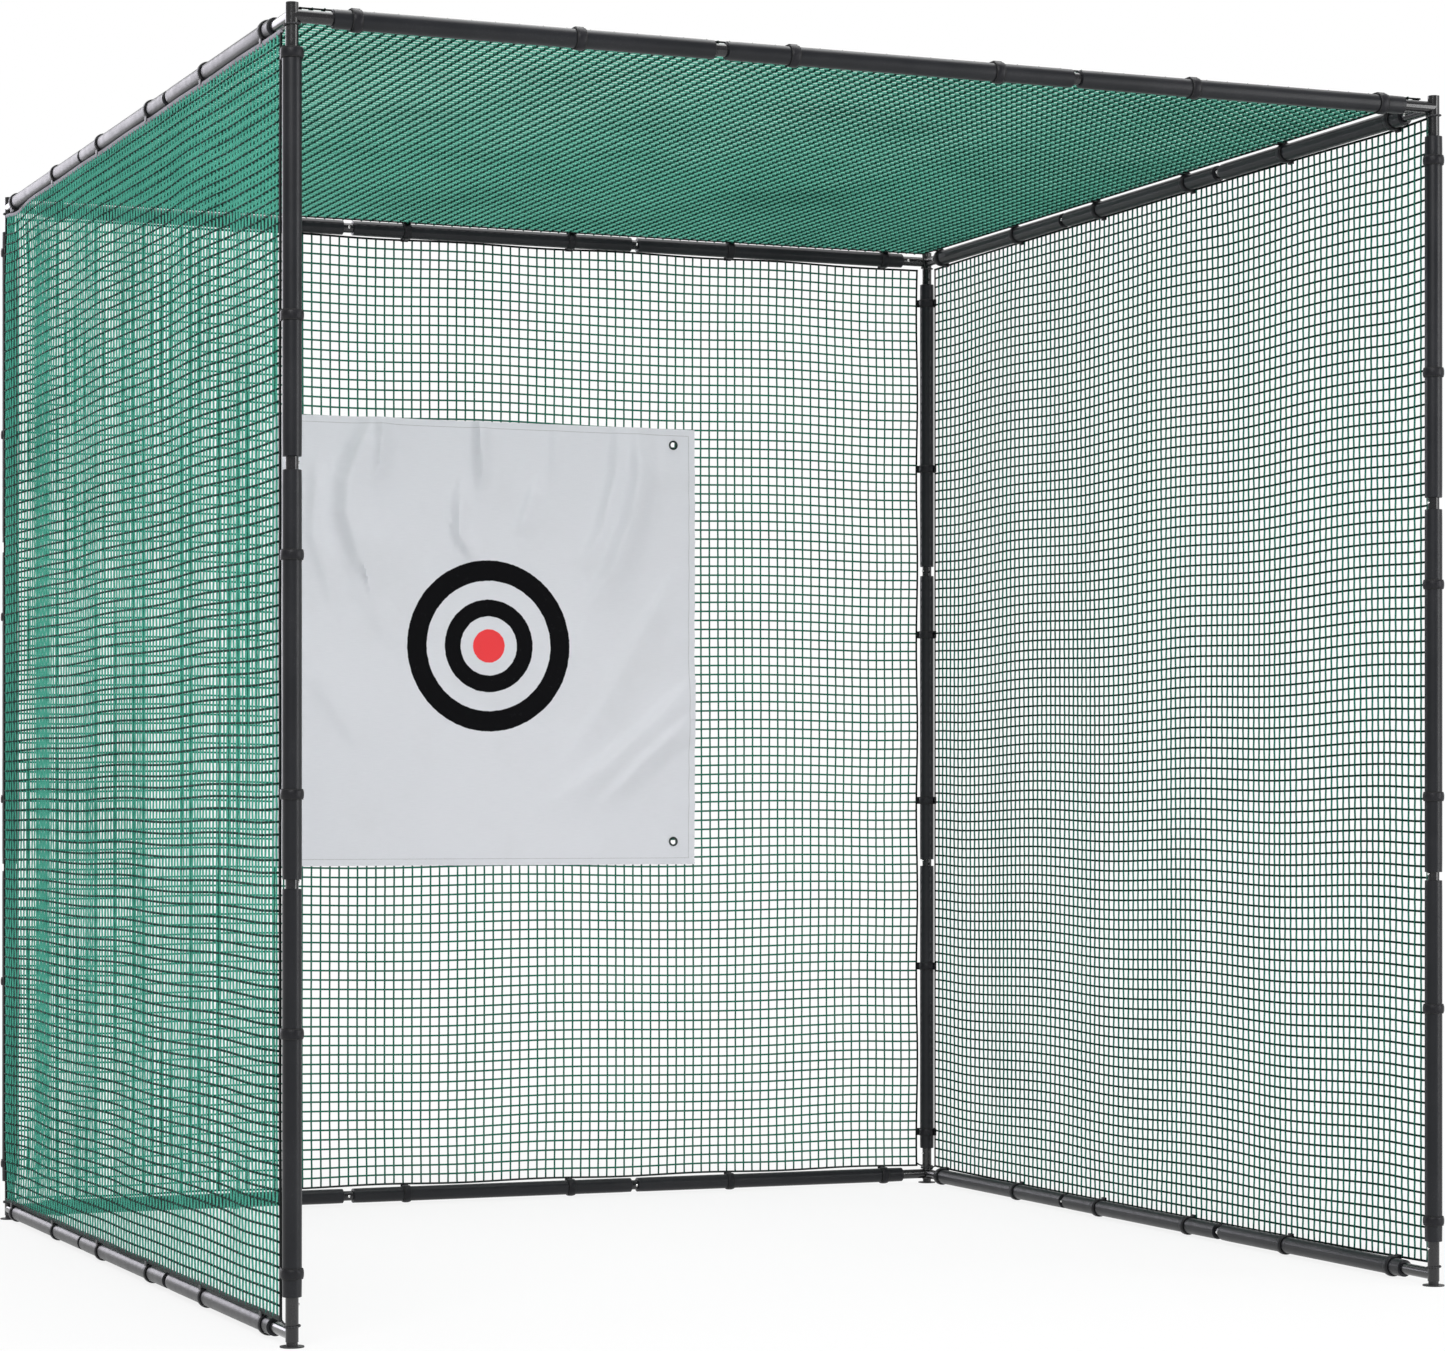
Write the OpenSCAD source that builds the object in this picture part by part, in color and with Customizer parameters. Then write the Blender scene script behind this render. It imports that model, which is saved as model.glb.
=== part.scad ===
// Cube-shaped golf practice net: a knock-down tube frame with foam sleeves, four net
// panels strapped to it and a target sheet on the back net. The front is open.
// Millimetres, +Z up, -Y the open front. The origin is on the ground in the middle.

/* [Frame] */
// Height from the ground to the top of the corner fittings
frame_h = 3048; // [3020:1:3080]
// Distance between the axes of neighbouring posts
post_spacing = 3025; // [3010:1:3040]
// Height of the bottom rails' axes, and drop of the top rails' axes
rail_offset = 30; // [29:0.5:34]
// Bare upright of a foot fitting, from the ground to its rim
foot_leg = 108; // [100:1:112]
// Bare upright of a top fitting, from its rim to its top
top_leg = 94; // [90:1:104]
// Side outlet of a fitting, from the post's axis to its rim
short_outlet = 86; // [82:1:90]
// Outlet of a front fitting that takes a side rail
long_outlet = 126; // [120:1:130]

/* [Tubes] */
// Outer diameter of every tube
tube_od = 30; // [29:0.5:31]
// Wall of every tube
tube_wall = 1.5; // [1.2:0.1:1.6]
// Length of the reduced end that plugs into the next tube
spigot_len = 40; // [34:1:44]
// Radial clearance of the reduced end
spigot_gap = 0.3; // [0.2:0.05:0.4]
// Visible length of a rail section, from one tube joint to the next
rail_section = 951; // [940:1:960]
// Visible length of the lowest post section
foot_section = 936; // [925:1:945]
// Visible length of the middle post section
post_section = 950; // [940:1:955]

/* [Snap buttons] */
// Diameter of a snap button
button_d = 8; // [7:0.5:9]
// Distance from a tube joint to the button's axis
button_inset = 12; // [11:0.5:14]
// Height of the button's crown above the tube
button_proud = 3; // [2.5:0.1:3.2]
// How far a button is pressed in to free the joint
button_travel = 5; // [4.8:0.1:5.2]
// Length of the spring leaf on each side of the tube
leaf_len = 40; // [34:1:44]

/* [Foam sleeves] */
// Outer diameter of a foam sleeve
foam_od = 45; // [43:0.5:47]
// Bare tube between a fitting and the foam
foam_inset = 9; // [6:0.5:11]
// Foam that laps back over the tube joint's near side
joint_bare = 5; // [3:0.5:8]

/* [Straps and nets] */
// Outer diameter of a net strap round the foam
strap_od = 54.6; // [54:0.2:56]
// Width of a net strap
strap_w = 23; // [20:1:26]
// Straps on each member
strap_count = 6; // [2:1:6]
// How far the top strap of the front left post has slid up
strap_slip = 51; // [0:1:59]
// Distance from a member's axis to the net's hem, along the net
net_inset = 23.5; // [23.5:0.5:30]
// How far the upright nets hang outside the plane of the members' axes
net_out = 17; // [16:0.5:19]
// How far the roof net lies above the top rails' axes
roof_out = 25; // [24:0.2:25.2]
// Width of the net's hem
hem_w = 15; // [12:1:20]
// Thickness of the net
net_t = 3; // [2:0.5:3]
// Gaps along each side of a net panel
net_gaps = 9; // [4:1:9]
// Width of a net strand
strand_w = 8; // [6:1:12]

/* [Target sheet] */
// Width and height of the sheet
sheet_size = 1390; // [1340:10:1400]
// Height of the sheet's middle
sheet_z = 1743; // [1700:1:1760]
// Deepest fold of the sheet
fold_depth = 15; // [4:1:18]
// Distance of the grommets from the middle of the sheet, sideways
grommet_x = 622; // [590:1:630]
// Distance of the grommets from the middle of the sheet, up and down
grommet_z = 633; // [600:1:640]

/* [Hidden] */
half = post_spacing / 2;
top_z = frame_h - rail_offset;
tube_r = tube_od / 2;
bore_r = tube_r - tube_wall;
spigot_r = bore_r - spigot_gap;
spigot_bore_r = spigot_r - tube_wall;
collar = 3;
joint_gap = 0.4;
foam_bore_r = tube_r + 0.3;
flange_r = 28;
flange_t = 3;
fitting_z = 12;
plug_top = 36;
cap_t = 3;
post_foam_foot = 6;
post_foam_top = 10;
far_foam_inset = 7;

// Button: shoulder inside the tube, crown outside, one spring leaf riveted under it
button_r = button_d / 2;
button_clear = 0.2;
crown_x = tube_r + button_proud;
crown_h = 1.6;
shoulder_r = 5.4;
shoulder_x = 9.1;
shoulder_t = 1.1;
leaf_w = 7;
leaf_t = 0.6;
leaf_gap = 0.3;
lower_leaf_x = -10.6;

// Bare tube at the two joints of a rail and of a post
rail_bare = [32, 22];
post_bare = [21, 30];

// First strap from the start of a member, and last strap from its end
strap_ends_post = [167, 165];
strap_ends_x = [150, 157];
strap_ends_y = [194, 114];
strap_gap = 0.3;
tab_gap = 0.4;
tab_t = 1.6;
tab_reach = 37;
ring_mid = foam_od / 4 + strap_gap / 2 + strap_od / 4;

net_w = post_spacing - 2 * net_inset;
net_h = top_z - rail_offset - 2 * net_inset;

sheet_t = 1.2;
sheet_y = half + net_out - 5;
sheet_cells = [24, 20];
grommet_lift = 11;
grommet_r = 15;
grommet_hole_r = 9.5;
grommet_barrel_r = 11;
grommet_flange_t = 1.8;

tie_d = 5;
tie_r = tube_r + 0.3 + tie_d / 2;
top_tie_drop = 5;
top_tie_tail = 45;
top_tie_slope = 23;
low_tie_tail = 9.5;
low_tie_step = 6;

// Members: name, start, turn, spin, kind, and the nets that leave them. A member's own Z
// runs along it, and its own X points to the inside of the frame. A net is given by the
// direction in which it leaves the member, the side of the member on which it hangs, and how
// far out it lies.
X_TURN = [0, 90, 0];
Y_TURN = [-90, 0, 0];
POSTS = [
    ["post_front_left", [-half, -half, 0], [0, 0, 0], 0, "post", [[90, 1, net_out]]],
    ["post_front_right", [half, -half, 0], [0, 0, 0], 180, "post", [[270, -1, net_out]]],
    ["post_rear_left", [-half, half, 0], [0, 0, 0], 0, "post", [[0, 1, net_out], [270, -1, net_out]]],
    ["post_rear_right", [half, half, 0], [0, 0, 0], 180, "post", [[0, -1, net_out], [90, 1, net_out]]]
];
TOP_RAILS = [
    ["top_rail_front", [-half, -half, top_z], X_TURN, 90, "x", [[0, 1, roof_out]]],
    ["top_rail_rear", [-half, half, top_z], X_TURN, -90, "x", [[0, -1, roof_out], [90, 1, net_out]]],
    ["top_rail_left", [-half, -half, top_z], Y_TURN, 0, "y", [[0, -1, roof_out], [90, 1, net_out]]],
    ["top_rail_right", [half, -half, top_z], Y_TURN, 180, "y", [[0, 1, roof_out], [270, -1, net_out]]]
];
BOTTOM_RAILS = [
    ["bottom_rail_rear", [-half, half, rail_offset], X_TURN, -90, "x", [[270, -1, net_out]]],
    ["bottom_rail_left", [-half, -half, rail_offset], Y_TURN, 0, "y", [[270, -1, net_out]]],
    ["bottom_rail_right", [half, -half, rail_offset], Y_TURN, 180, "y", [[90, 1, net_out]]]
];
MEMBERS = concat(POSTS, TOP_RAILS, BOTTOM_RAILS);
CORNERS = [for (x = [-1, 1], y = [-1, 1]) [x, y]];

// Tube stops along a member: near fitting, first joint, second joint, far fitting
function near_outlet(m) = m[4] == "post" ? foot_leg : m[4] == "x" ? short_outlet : long_outlet;
function member_len(m) = m[4] == "post" ? frame_h : post_spacing;
function far_outlet(m) = m[4] == "post" ? top_leg : short_outlet;
function first_joint(m) = near_outlet(m) + (m[4] == "post" ? foot_section : rail_section);
function second_joint(m) = first_joint(m) + (m[4] == "post" ? post_section : rail_section);
function far_stop(m) = member_len(m) - far_outlet(m);
function stops(m) = [near_outlet(m), first_joint(m), second_joint(m), far_stop(m)];
function bare(m) = m[4] == "post" ? post_bare : rail_bare;

// Buttons of a member: name, place along it, and the way in which its spring lies
function near_buttons(m) = [
    [str(m[0], m[4] == "post" ? "_foot" : "_near", "_button"), near_outlet(m) - button_inset, 1]
];
function joint_buttons(m) = [
    [str(m[0], "_first_joint_button"), first_joint(m) + button_inset, -1],
    [str(m[0], "_second_joint_button"), second_joint(m) + button_inset, -1]
];
function far_buttons(m) = [
    [str(m[0], "_far_button"), far_stop(m) + button_inset, -1]
];
function post_buttons(m) = concat(near_buttons(m), joint_buttons(m));
function top_rail_buttons(m) = concat(near_buttons(m), joint_buttons(m), far_buttons(m));
BUTTONS = concat(
    [for (m = POSTS, b = post_buttons(m)) [b, m]],
    [for (m = TOP_RAILS, b = top_rail_buttons(m)) [b, m]],
    [for (m = BOTTOM_RAILS, b = joint_buttons(m)) [b, m]]
);

// Strap places along a member
function strap_ends(m) = m[4] == "post" ? strap_ends_post : m[4] == "x" ? strap_ends_x : strap_ends_y;
function strap_pitch(m) = (member_len(m) - strap_ends(m)[0] - strap_ends(m)[1]) / (strap_count - 1);
function slipped(m, k) = m[0] == "post_front_left" && k == strap_count - 1 ? strap_slip : 0;
function strap_at(m, k) = strap_ends(m)[0] + k * strap_pitch(m) + slipped(m, k);

// Folds of the target sheet, as depth in front of the net at side s and height h from -1 to 1
function ridge(d, w) = exp(-pow(d / w, 2));
function from_grommet(s, h) = norm([
    abs(s) - 2 * grommet_x / sheet_size,
    abs(h - 2 * grommet_lift / sheet_size) - 2 * grommet_z / sheet_size
]);
function fade(s, h) = min(1, max(0, from_grommet(s, h) - 0.13) / 0.15);
function fold(s, h) = fold_depth * fade(s, h) * (
    0.55 * ridge(s + 0.42 + 0.05 * h, 0.12) * (0.45 + 0.45 * h) +
    0.9 * ridge(s - 0.02 - 0.04 * h, 0.06) * max(0, h) +
    0.5 * ridge(s - 0.62 * (h + 0.15), 0.1) * (0.5 + 0.4 * h) +
    0.4 * ridge(s - 0.5 + 0.45 * h, 0.13) * (0.55 - 0.4 * h)
);
function sheet_point(i, j, back) =
    let(s = 2 * i / sheet_cells[0] - 1, h = 2 * j / sheet_cells[1] - 1)
    [s * sheet_size / 2, sheet_y - fold(s, h) + (back ? sheet_t : 0), sheet_z + h * sheet_size / 2];

$fn = 48;

// Puts a member's own frame in place
module on(m) {
    translate(m[1]) rotate(m[2]) rotate([0, 0, m[3]]) children();
}

// Tube from z = a to z = b, with its near and far ends reduced where asked
module tube_section(a, b, near, far) {
    outside = concat(
        near ? [[spigot_r, a - spigot_len], [spigot_r, a]] : [],
        [[tube_r, a], [tube_r, b]],
        far ? [[spigot_r, b], [spigot_r, b + spigot_len]] : []
    );
    inside = concat(
        far ? [[spigot_bore_r, b + spigot_len], [spigot_bore_r, b - collar]] : [],
        [[bore_r, far ? b - collar : b], [bore_r, near ? a + collar : a]],
        near ? [[spigot_bore_r, a + collar], [spigot_bore_r, a - spigot_len]] : []
    );
    rotate_extrude() polygon(concat(outside, inside));
}

module button_hole(z) {
    translate([0, 0, z]) rotate([0, 90, 0]) cylinder(r = button_r + button_clear, h = crown_x);
}

// Three tube sections of a member, drilled for its buttons
module member_tubes(m, buttons) {
    s = stops(m);
    color("#2a2a2e") on(m) difference() {
        union() {
            tube_section(s[0], s[1], true, true);
            tube_section(s[1] + joint_gap, s[2], false, true);
            tube_section(s[2] + joint_gap, s[3], false, true);
        }
        for (b = buttons) button_hole(b[1]);
    }
}

// One outlet of a corner fitting, as the solid tube and as its bore
module outlet(direction, len, r) {
    rotate(direction) cylinder(r = r, h = len);
}

module rail_outlets(c, r, x_len, y_len) {
    if (x_len > 0) outlet([0, -90 * c[0], 0], x_len, r);
    outlet([90 * c[1], 0, 0], y_len, r);
}

function side_outlet(c) = c[1] < 0 ? long_outlet : short_outlet;

module top_corner_fittings() {
    color("#232326") for (c = CORNERS) difference() {
        translate([c[0] * half, c[1] * half, 0]) union() {
            translate([0, 0, frame_h - top_leg]) cylinder(r = tube_r, h = top_leg);
            translate([0, 0, top_z]) rail_outlets(c, tube_r, short_outlet, side_outlet(c));
        }
        translate([c[0] * half, c[1] * half, 0]) {
            translate([0, 0, frame_h - top_leg - 1]) cylinder(r = bore_r, h = top_leg + 1 - cap_t);
            translate([0, 0, top_z]) rail_outlets(c, bore_r, short_outlet + 1, side_outlet(c) + 1);
        }
        for (m = TOP_RAILS, b = concat(near_buttons(m), far_buttons(m))) on(m) button_hole(b[1]);
    }
}

module foot_fittings() {
    color("#232326") for (c = CORNERS) difference() {
        x_outlet = c[1] > 0 ? short_outlet : 0;
        translate([c[0] * half, c[1] * half, 0]) union() {
            translate([0, 0, fitting_z]) cylinder(r = tube_r, h = foot_leg - fitting_z);
            translate([0, 0, rail_offset]) rail_outlets(c, tube_r, x_outlet, side_outlet(c));
        }
        translate([c[0] * half, c[1] * half, 0]) {
            translate([0, 0, fitting_z - 1]) cylinder(r = bore_r, h = foot_leg - fitting_z + 2);
            translate([0, 0, rail_offset])
                rail_outlets(c, bore_r, x_outlet > 0 ? x_outlet + 1 : 0, side_outlet(c) + 1);
        }
        for (m = POSTS, b = near_buttons(m)) on(m) button_hole(b[1]);
    }
}

// Flanged plugs that close the feet and stand on the ground
module foot_plugs() {
    color("#3a3a3e") for (c = CORNERS) translate([c[0] * half, c[1] * half, 0]) {
        cylinder(r = flange_r, h = flange_t);
        cylinder(r = spigot_r, h = plug_top);
    }
}

module foam_sleeve(a, b) {
    translate([0, 0, a]) difference() {
        cylinder(d = foam_od, h = b - a);
        translate([0, 0, -1]) cylinder(r = foam_bore_r, h = b - a + 2);
    }
}

module foam_sleeves(members) {
    color("#34343a") for (m = members) on(m) {
        s = stops(m);
        near = m[4] == "post" ? s[0] + post_foam_foot : s[0] + foam_inset;
        far = m[4] == "post" ? s[3] - post_foam_top : s[3] - far_foam_inset;
        foam_sleeve(near, s[1] - joint_bare);
        foam_sleeve(s[1] - joint_bare + bare(m)[0], s[2] - joint_bare);
        foam_sleeve(s[2] - joint_bare + bare(m)[1], far);
    }
}

// Where a tab that lies off the member's axis by so much grows out of its ring
function tab_root(off) = off < ring_mid ? sqrt(pow(ring_mid, 2) - pow(off, 2)) : 0;

// Strap ring with a pair of tabs on each net that it holds
module net_strap(nets) {
    rotate_extrude() translate([foam_od / 2 + strap_gap, -strap_w / 2])
        square([(strap_od - foam_od) / 2 - strap_gap, strap_w]);
    for (net = nets, face = [-1, 1]) rotate([0, 0, net[0]]) {
        off = net[2] + face * (net_t / 2 + tab_gap + tab_t / 2);
        root = tab_root(off);
        translate([root, net[1] * off - tab_t / 2, -strap_w / 2]) cube([tab_reach - root, tab_t, strap_w]);
    }
}

module net_straps() {
    color("#1b1b1e") for (m = MEMBERS, k = [0 : strap_count - 1])
        on(m) translate([0, 0, strap_at(m, k)]) net_strap(m[5]);
}

// Flat net, centred, with its hem all round and square gaps between its strands
module net_panel(w, h) {
    gap_w = (w - 2 * hem_w - (net_gaps - 1) * strand_w) / net_gaps;
    gap_h = (h - 2 * hem_w - (net_gaps - 1) * strand_w) / net_gaps;
    linear_extrude(height = net_t, center = true) difference() {
        square([w, h], center = true);
        for (i = [0 : net_gaps - 1], j = [0 : net_gaps - 1])
            translate([hem_w - w / 2 + i * (gap_w + strand_w), hem_w - h / 2 + j * (gap_h + strand_w)])
                square([gap_w, gap_h]);
    }
}

module back_net() {
    color("#2f6b57") translate([0, half + net_out, frame_h / 2]) rotate([90, 0, 0]) net_panel(net_w, net_h);
}

module side_net(side) {
    color("#2f6b57") translate([side * (half + net_out), 0, frame_h / 2])
        rotate([90, 0, 90]) net_panel(net_w, net_h);
}

module roof_net() {
    color("#2f6b57") translate([0, 0, top_z + roof_out]) net_panel(net_w, net_w);
}

// Cord loop round a bare upright, with its tail to a net's corner
module corner_tie(z, tail, slope, aim) {
    translate([0, 0, z]) rotate([0, 0, aim]) {
        rotate_extrude() translate([tie_r, 0]) circle(d = tie_d, $fn = 24);
        translate([tie_r, 0, 0]) rotate([0, slope, 0]) cylinder(d = tie_d - 0.2, h = tail, $fn = 24);
    }
}

module corner_ties() {
    top_tie_z = top_z - tube_r - top_tie_drop;
    low_tie_z = rail_offset + tube_r + tie_d / 2 + 0.5;
    color("#151517") for (c = CORNERS) translate([c[0] * half, c[1] * half, 0]) {
        corner_tie(top_tie_z, top_tie_tail, top_tie_slope, atan2(-c[1], -c[0]));
        corner_tie(low_tie_z, low_tie_tail, 90, atan2(-c[1] * net_inset, c[0] * net_out));
        if (c[1] > 0)
            corner_tie(low_tie_z + low_tie_step, low_tie_tail, 90, atan2(net_out, -c[0] * net_inset));
    }
}

// Hanging cloth with its main folds, drawn in front of the back net
module folded_cloth() {
    nx = sheet_cells[0];
    nz = sheet_cells[1];
    row = nx + 1;
    side = row * (nz + 1);
    points = [for (back = [0, 1], j = [0 : nz], i = [0 : nx]) sheet_point(i, j, back == 1)];
    front = [for (j = [0 : nz - 1], i = [0 : nx - 1]) let(p = j * row + i)
        each [[p, p + row + 1, p + 1], [p, p + row, p + row + 1]]];
    rear = [for (f = front) [f[0] + side, f[2] + side, f[1] + side]];
    low = [for (i = [0 : nx - 1]) each [[i, i + 1, i + 1 + side], [i, i + 1 + side, i + side]]];
    high = [for (i = [0 : nx - 1]) let(p = nz * row + i)
        each [[p, p + 1 + side, p + 1], [p, p + side, p + 1 + side]]];
    left = [for (j = [0 : nz - 1]) let(p = j * row)
        each [[p, p + row + side, p + row], [p, p + side, p + row + side]]];
    right = [for (j = [0 : nz - 1]) let(p = j * row + nx)
        each [[p, p + row, p + row + side], [p, p + row + side, p + side]]];
    polyhedron(points, concat(front, rear, low, high, left, right));
}

module at_grommets() {
    middle = [0, sheet_y + sheet_t / 2, sheet_z + grommet_lift];
    for (c = CORNERS) translate(middle + [c[0] * grommet_x, 0, c[1] * grommet_z])
        rotate([90, 0, 0]) children();
}

module target_sheet() {
    color("#d0d1d7") difference() {
        folded_cloth();
        at_grommets() cylinder(r = grommet_barrel_r + 0.3, h = 2 * fold_depth, center = true);
    }
}

// Two-flange eyelets that clamp the sheet
module target_grommets() {
    reach = sheet_t / 2 + 0.3 + grommet_flange_t;
    profile = [
        [grommet_hole_r, -reach], [grommet_r, -reach], [grommet_r, grommet_flange_t - reach],
        [grommet_barrel_r, grommet_flange_t - reach], [grommet_barrel_r, reach - grommet_flange_t],
        [grommet_r, reach - grommet_flange_t], [grommet_r, reach], [grommet_hole_r, reach]
    ];
    color("#4a4a50") at_grommets() rotate_extrude() polygon(profile);
}

// Fixed nose and lower leaf of a button's spring, clamped across the tube by its own bend
module spring_rest(way) {
    nose_r = (shoulder_x - lower_leaf_x) / 2;
    mirror([0, 0, way < 0 ? 1 : 0]) {
        translate([lower_leaf_x, -leaf_w / 2, 0]) cube([leaf_t, leaf_w, leaf_len + leaf_gap]);
        translate([lower_leaf_x + nose_r, 0, leaf_len + leaf_gap]) rotate([90, 0, 0])
            linear_extrude(height = leaf_w, center = true) difference() {
                circle(r = nose_r);
                circle(r = nose_r - leaf_t);
                translate([-2 * nose_r, -4 * nose_r]) square(4 * nose_r);
            }
    }
}

module button_springs() {
    color("silver") for (b = BUTTONS) on(b[1]) translate([0, 0, b[0][1]]) spring_rest(b[0][2]);
}

// Snap button with the spring leaf that it is riveted to
module snap_button(way) {
    crown_r = (pow(button_r, 2) + pow(crown_h, 2)) / (2 * crown_h);
    rotate([0, 90, 0]) {
        translate([0, 0, shoulder_x]) cylinder(r = shoulder_r, h = shoulder_t);
        translate([0, 0, shoulder_x]) cylinder(r = button_r, h = crown_x - crown_h - shoulder_x);
        intersection() {
            translate([0, 0, crown_x - crown_r]) sphere(r = crown_r);
            translate([0, 0, crown_x - crown_h - 0.5]) cylinder(r = button_r, h = crown_h + 1);
        }
    }
    mirror([0, 0, way < 0 ? 1 : 0])
        translate([shoulder_x - leaf_t, -leaf_w / 2, -leaf_w / 2]) cube([leaf_t, leaf_w, leaf_len + leaf_w / 2]);
}

for (m = POSTS) member_tubes(m, post_buttons(m));
for (m = TOP_RAILS) member_tubes(m, top_rail_buttons(m));
for (m = BOTTOM_RAILS) member_tubes(m, joint_buttons(m));
top_corner_fittings();
foot_fittings();
foot_plugs();
foam_sleeves(POSTS);  // post_foam_sleeves
foam_sleeves(TOP_RAILS);  // top_rail_foam_sleeves
foam_sleeves(BOTTOM_RAILS);  // bottom_rail_foam_sleeves
net_straps();
back_net();
side_net(-1);  // left_net
side_net(1);  // right_net
roof_net();
corner_ties();
target_sheet();
target_grommets();
button_springs();
for (b = BUTTONS) color("#d9d9dc") on(b[1]) translate([0, 0, b[0][1]]) snap_button(b[0][2]);
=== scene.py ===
import math

import bmesh
import bpy
import numpy as np
from mathutils import Matrix, Vector


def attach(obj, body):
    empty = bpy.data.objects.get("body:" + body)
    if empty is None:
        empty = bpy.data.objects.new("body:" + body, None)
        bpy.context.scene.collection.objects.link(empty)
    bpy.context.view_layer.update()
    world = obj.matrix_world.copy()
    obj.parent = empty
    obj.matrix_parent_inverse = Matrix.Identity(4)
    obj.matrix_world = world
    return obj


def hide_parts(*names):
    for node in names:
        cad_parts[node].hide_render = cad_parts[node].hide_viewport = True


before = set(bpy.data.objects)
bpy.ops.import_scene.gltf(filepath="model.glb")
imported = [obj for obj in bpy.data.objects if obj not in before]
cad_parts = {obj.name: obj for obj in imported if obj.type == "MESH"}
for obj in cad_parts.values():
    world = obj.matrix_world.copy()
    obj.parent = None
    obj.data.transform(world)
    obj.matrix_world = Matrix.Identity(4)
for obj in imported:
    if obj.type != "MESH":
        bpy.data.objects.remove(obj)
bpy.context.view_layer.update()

# Frame, in metres: the same sizes as in the construction model
HEIGHT = 3.048
HALF = 1.5125
RAIL_OFFSET = 0.030
TOP_Z = HEIGHT - RAIL_OFFSET
FOOT_LEG = 0.108
TOP_LEG = 0.094
SHORT_OUTLET = 0.086
LONG_OUTLET = 0.126
TUBE_R = 0.015
RAIL_SECTION = 0.951
FOOT_SECTION = 0.936
POST_SECTION = 0.950

# Foam sleeves and straps
FOAM_R = 0.0225
FOAM_BORE_R = 0.0153
FOAM_INSET = 0.009
FAR_FOAM_INSET = 0.007
POST_FOAM_FOOT = 0.006
POST_FOAM_TOP = 0.010
JOINT_BARE = 0.005
RAIL_BARE = (0.032, 0.022)
POST_BARE = (0.021, 0.030)
STRAP_R = 0.0273
STRAP_W = 0.023
STRAP_COUNT = 6
STRAP_SLIP = 0.051
STRAP_ENDS = {"post": (0.167, 0.165), "x": (0.150, 0.157), "y": (0.194, 0.114)}
RING_MID = 0.02505
BINDING_R = 0.0247
TAB_GAP = 0.0027
TAB_KNEE = 0.0250
TAB_REACH = 0.0300

# Nets
NET_INSET = 0.0235
NET_OUT = 0.017
ROOF_OUT = 0.025
NET_W = 2 * HALF - 2 * NET_INSET
NET_H = TOP_Z - RAIL_OFFSET - 2 * NET_INSET
NET_CELLS = 101
NET_PITCH = (NET_W - 0.006) / NET_CELLS
WEAVE_LIFT = 0.0005

# Corner ties
TIE_R = 0.0024
TIE_GAP = 0.0030

# Target sheet
SHEET_SIZE = 1.390
SHEET_Z = 1.743
SHEET_Y = HALF + NET_OUT - 0.005
SHEET_T = 0.0012
GROMMET_X = 0.622
GROMMET_Z = 0.633
GROMMET_LIFT = 0.011
GROMMET_BARREL_R = 0.011
RING_CENTRE_Z = 1.7355

X_AXIS = Vector((1, 0, 0))
Y_AXIS = Vector((0, 1, 0))
Z_AXIS = Vector((0, 0, 1))

# The way to the white backdrop; the studio is dimmer on the other side
BACKDROP_WAY = (0.38, 0.92, 0.0)

CAMERA_PLACE = (-3.971, -10.0503, 1.2083)
CAMERA_TURN = -22.3691
CAMERA_LENS = 97.068
CAMERA_SHIFT_Y = 0.09595
ROOM_LIGHT = 0.42
WHITE = (1.0, 1.0, 1.0)

# Print of the target: radii of the rings and of the red disc's edge, and how much shows behind
OUTER_RING = (0.204, 0.268)
INNER_RING = (0.0925, 0.145)
RED_EDGE = (0.0513, 0.0531)
PRINT_THROUGH = 0.16


# ---- Camera and light


def add_camera():
    data = bpy.data.cameras.new("camera")
    data.sensor_width = 36.0
    data.lens = CAMERA_LENS
    data.shift_y = CAMERA_SHIFT_Y
    data.clip_start = 0.1
    data.clip_end = 100.0
    camera = bpy.data.objects.new("camera", data)
    camera.location = CAMERA_PLACE
    camera.rotation_euler = (math.radians(90), 0, math.radians(CAMERA_TURN))
    bpy.context.scene.collection.objects.link(camera)
    bpy.context.scene.camera = camera


def add_softbox(name, place, aim, size, power, tint=(1.0, 1.0, 1.0)):
    data = bpy.data.lights.new(name, "AREA")
    data.shape = "RECTANGLE"
    data.size = size[0]
    data.size_y = size[1]
    data.energy = power
    data.color = tint
    lamp = bpy.data.objects.new(name, data)
    lamp.location = place
    way = Vector(aim) - Vector(place)
    lamp.rotation_euler = way.to_track_quat("-Z", "Y").to_euler()
    lamp.visible_camera = False
    bpy.context.scene.collection.objects.link(lamp)


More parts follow.
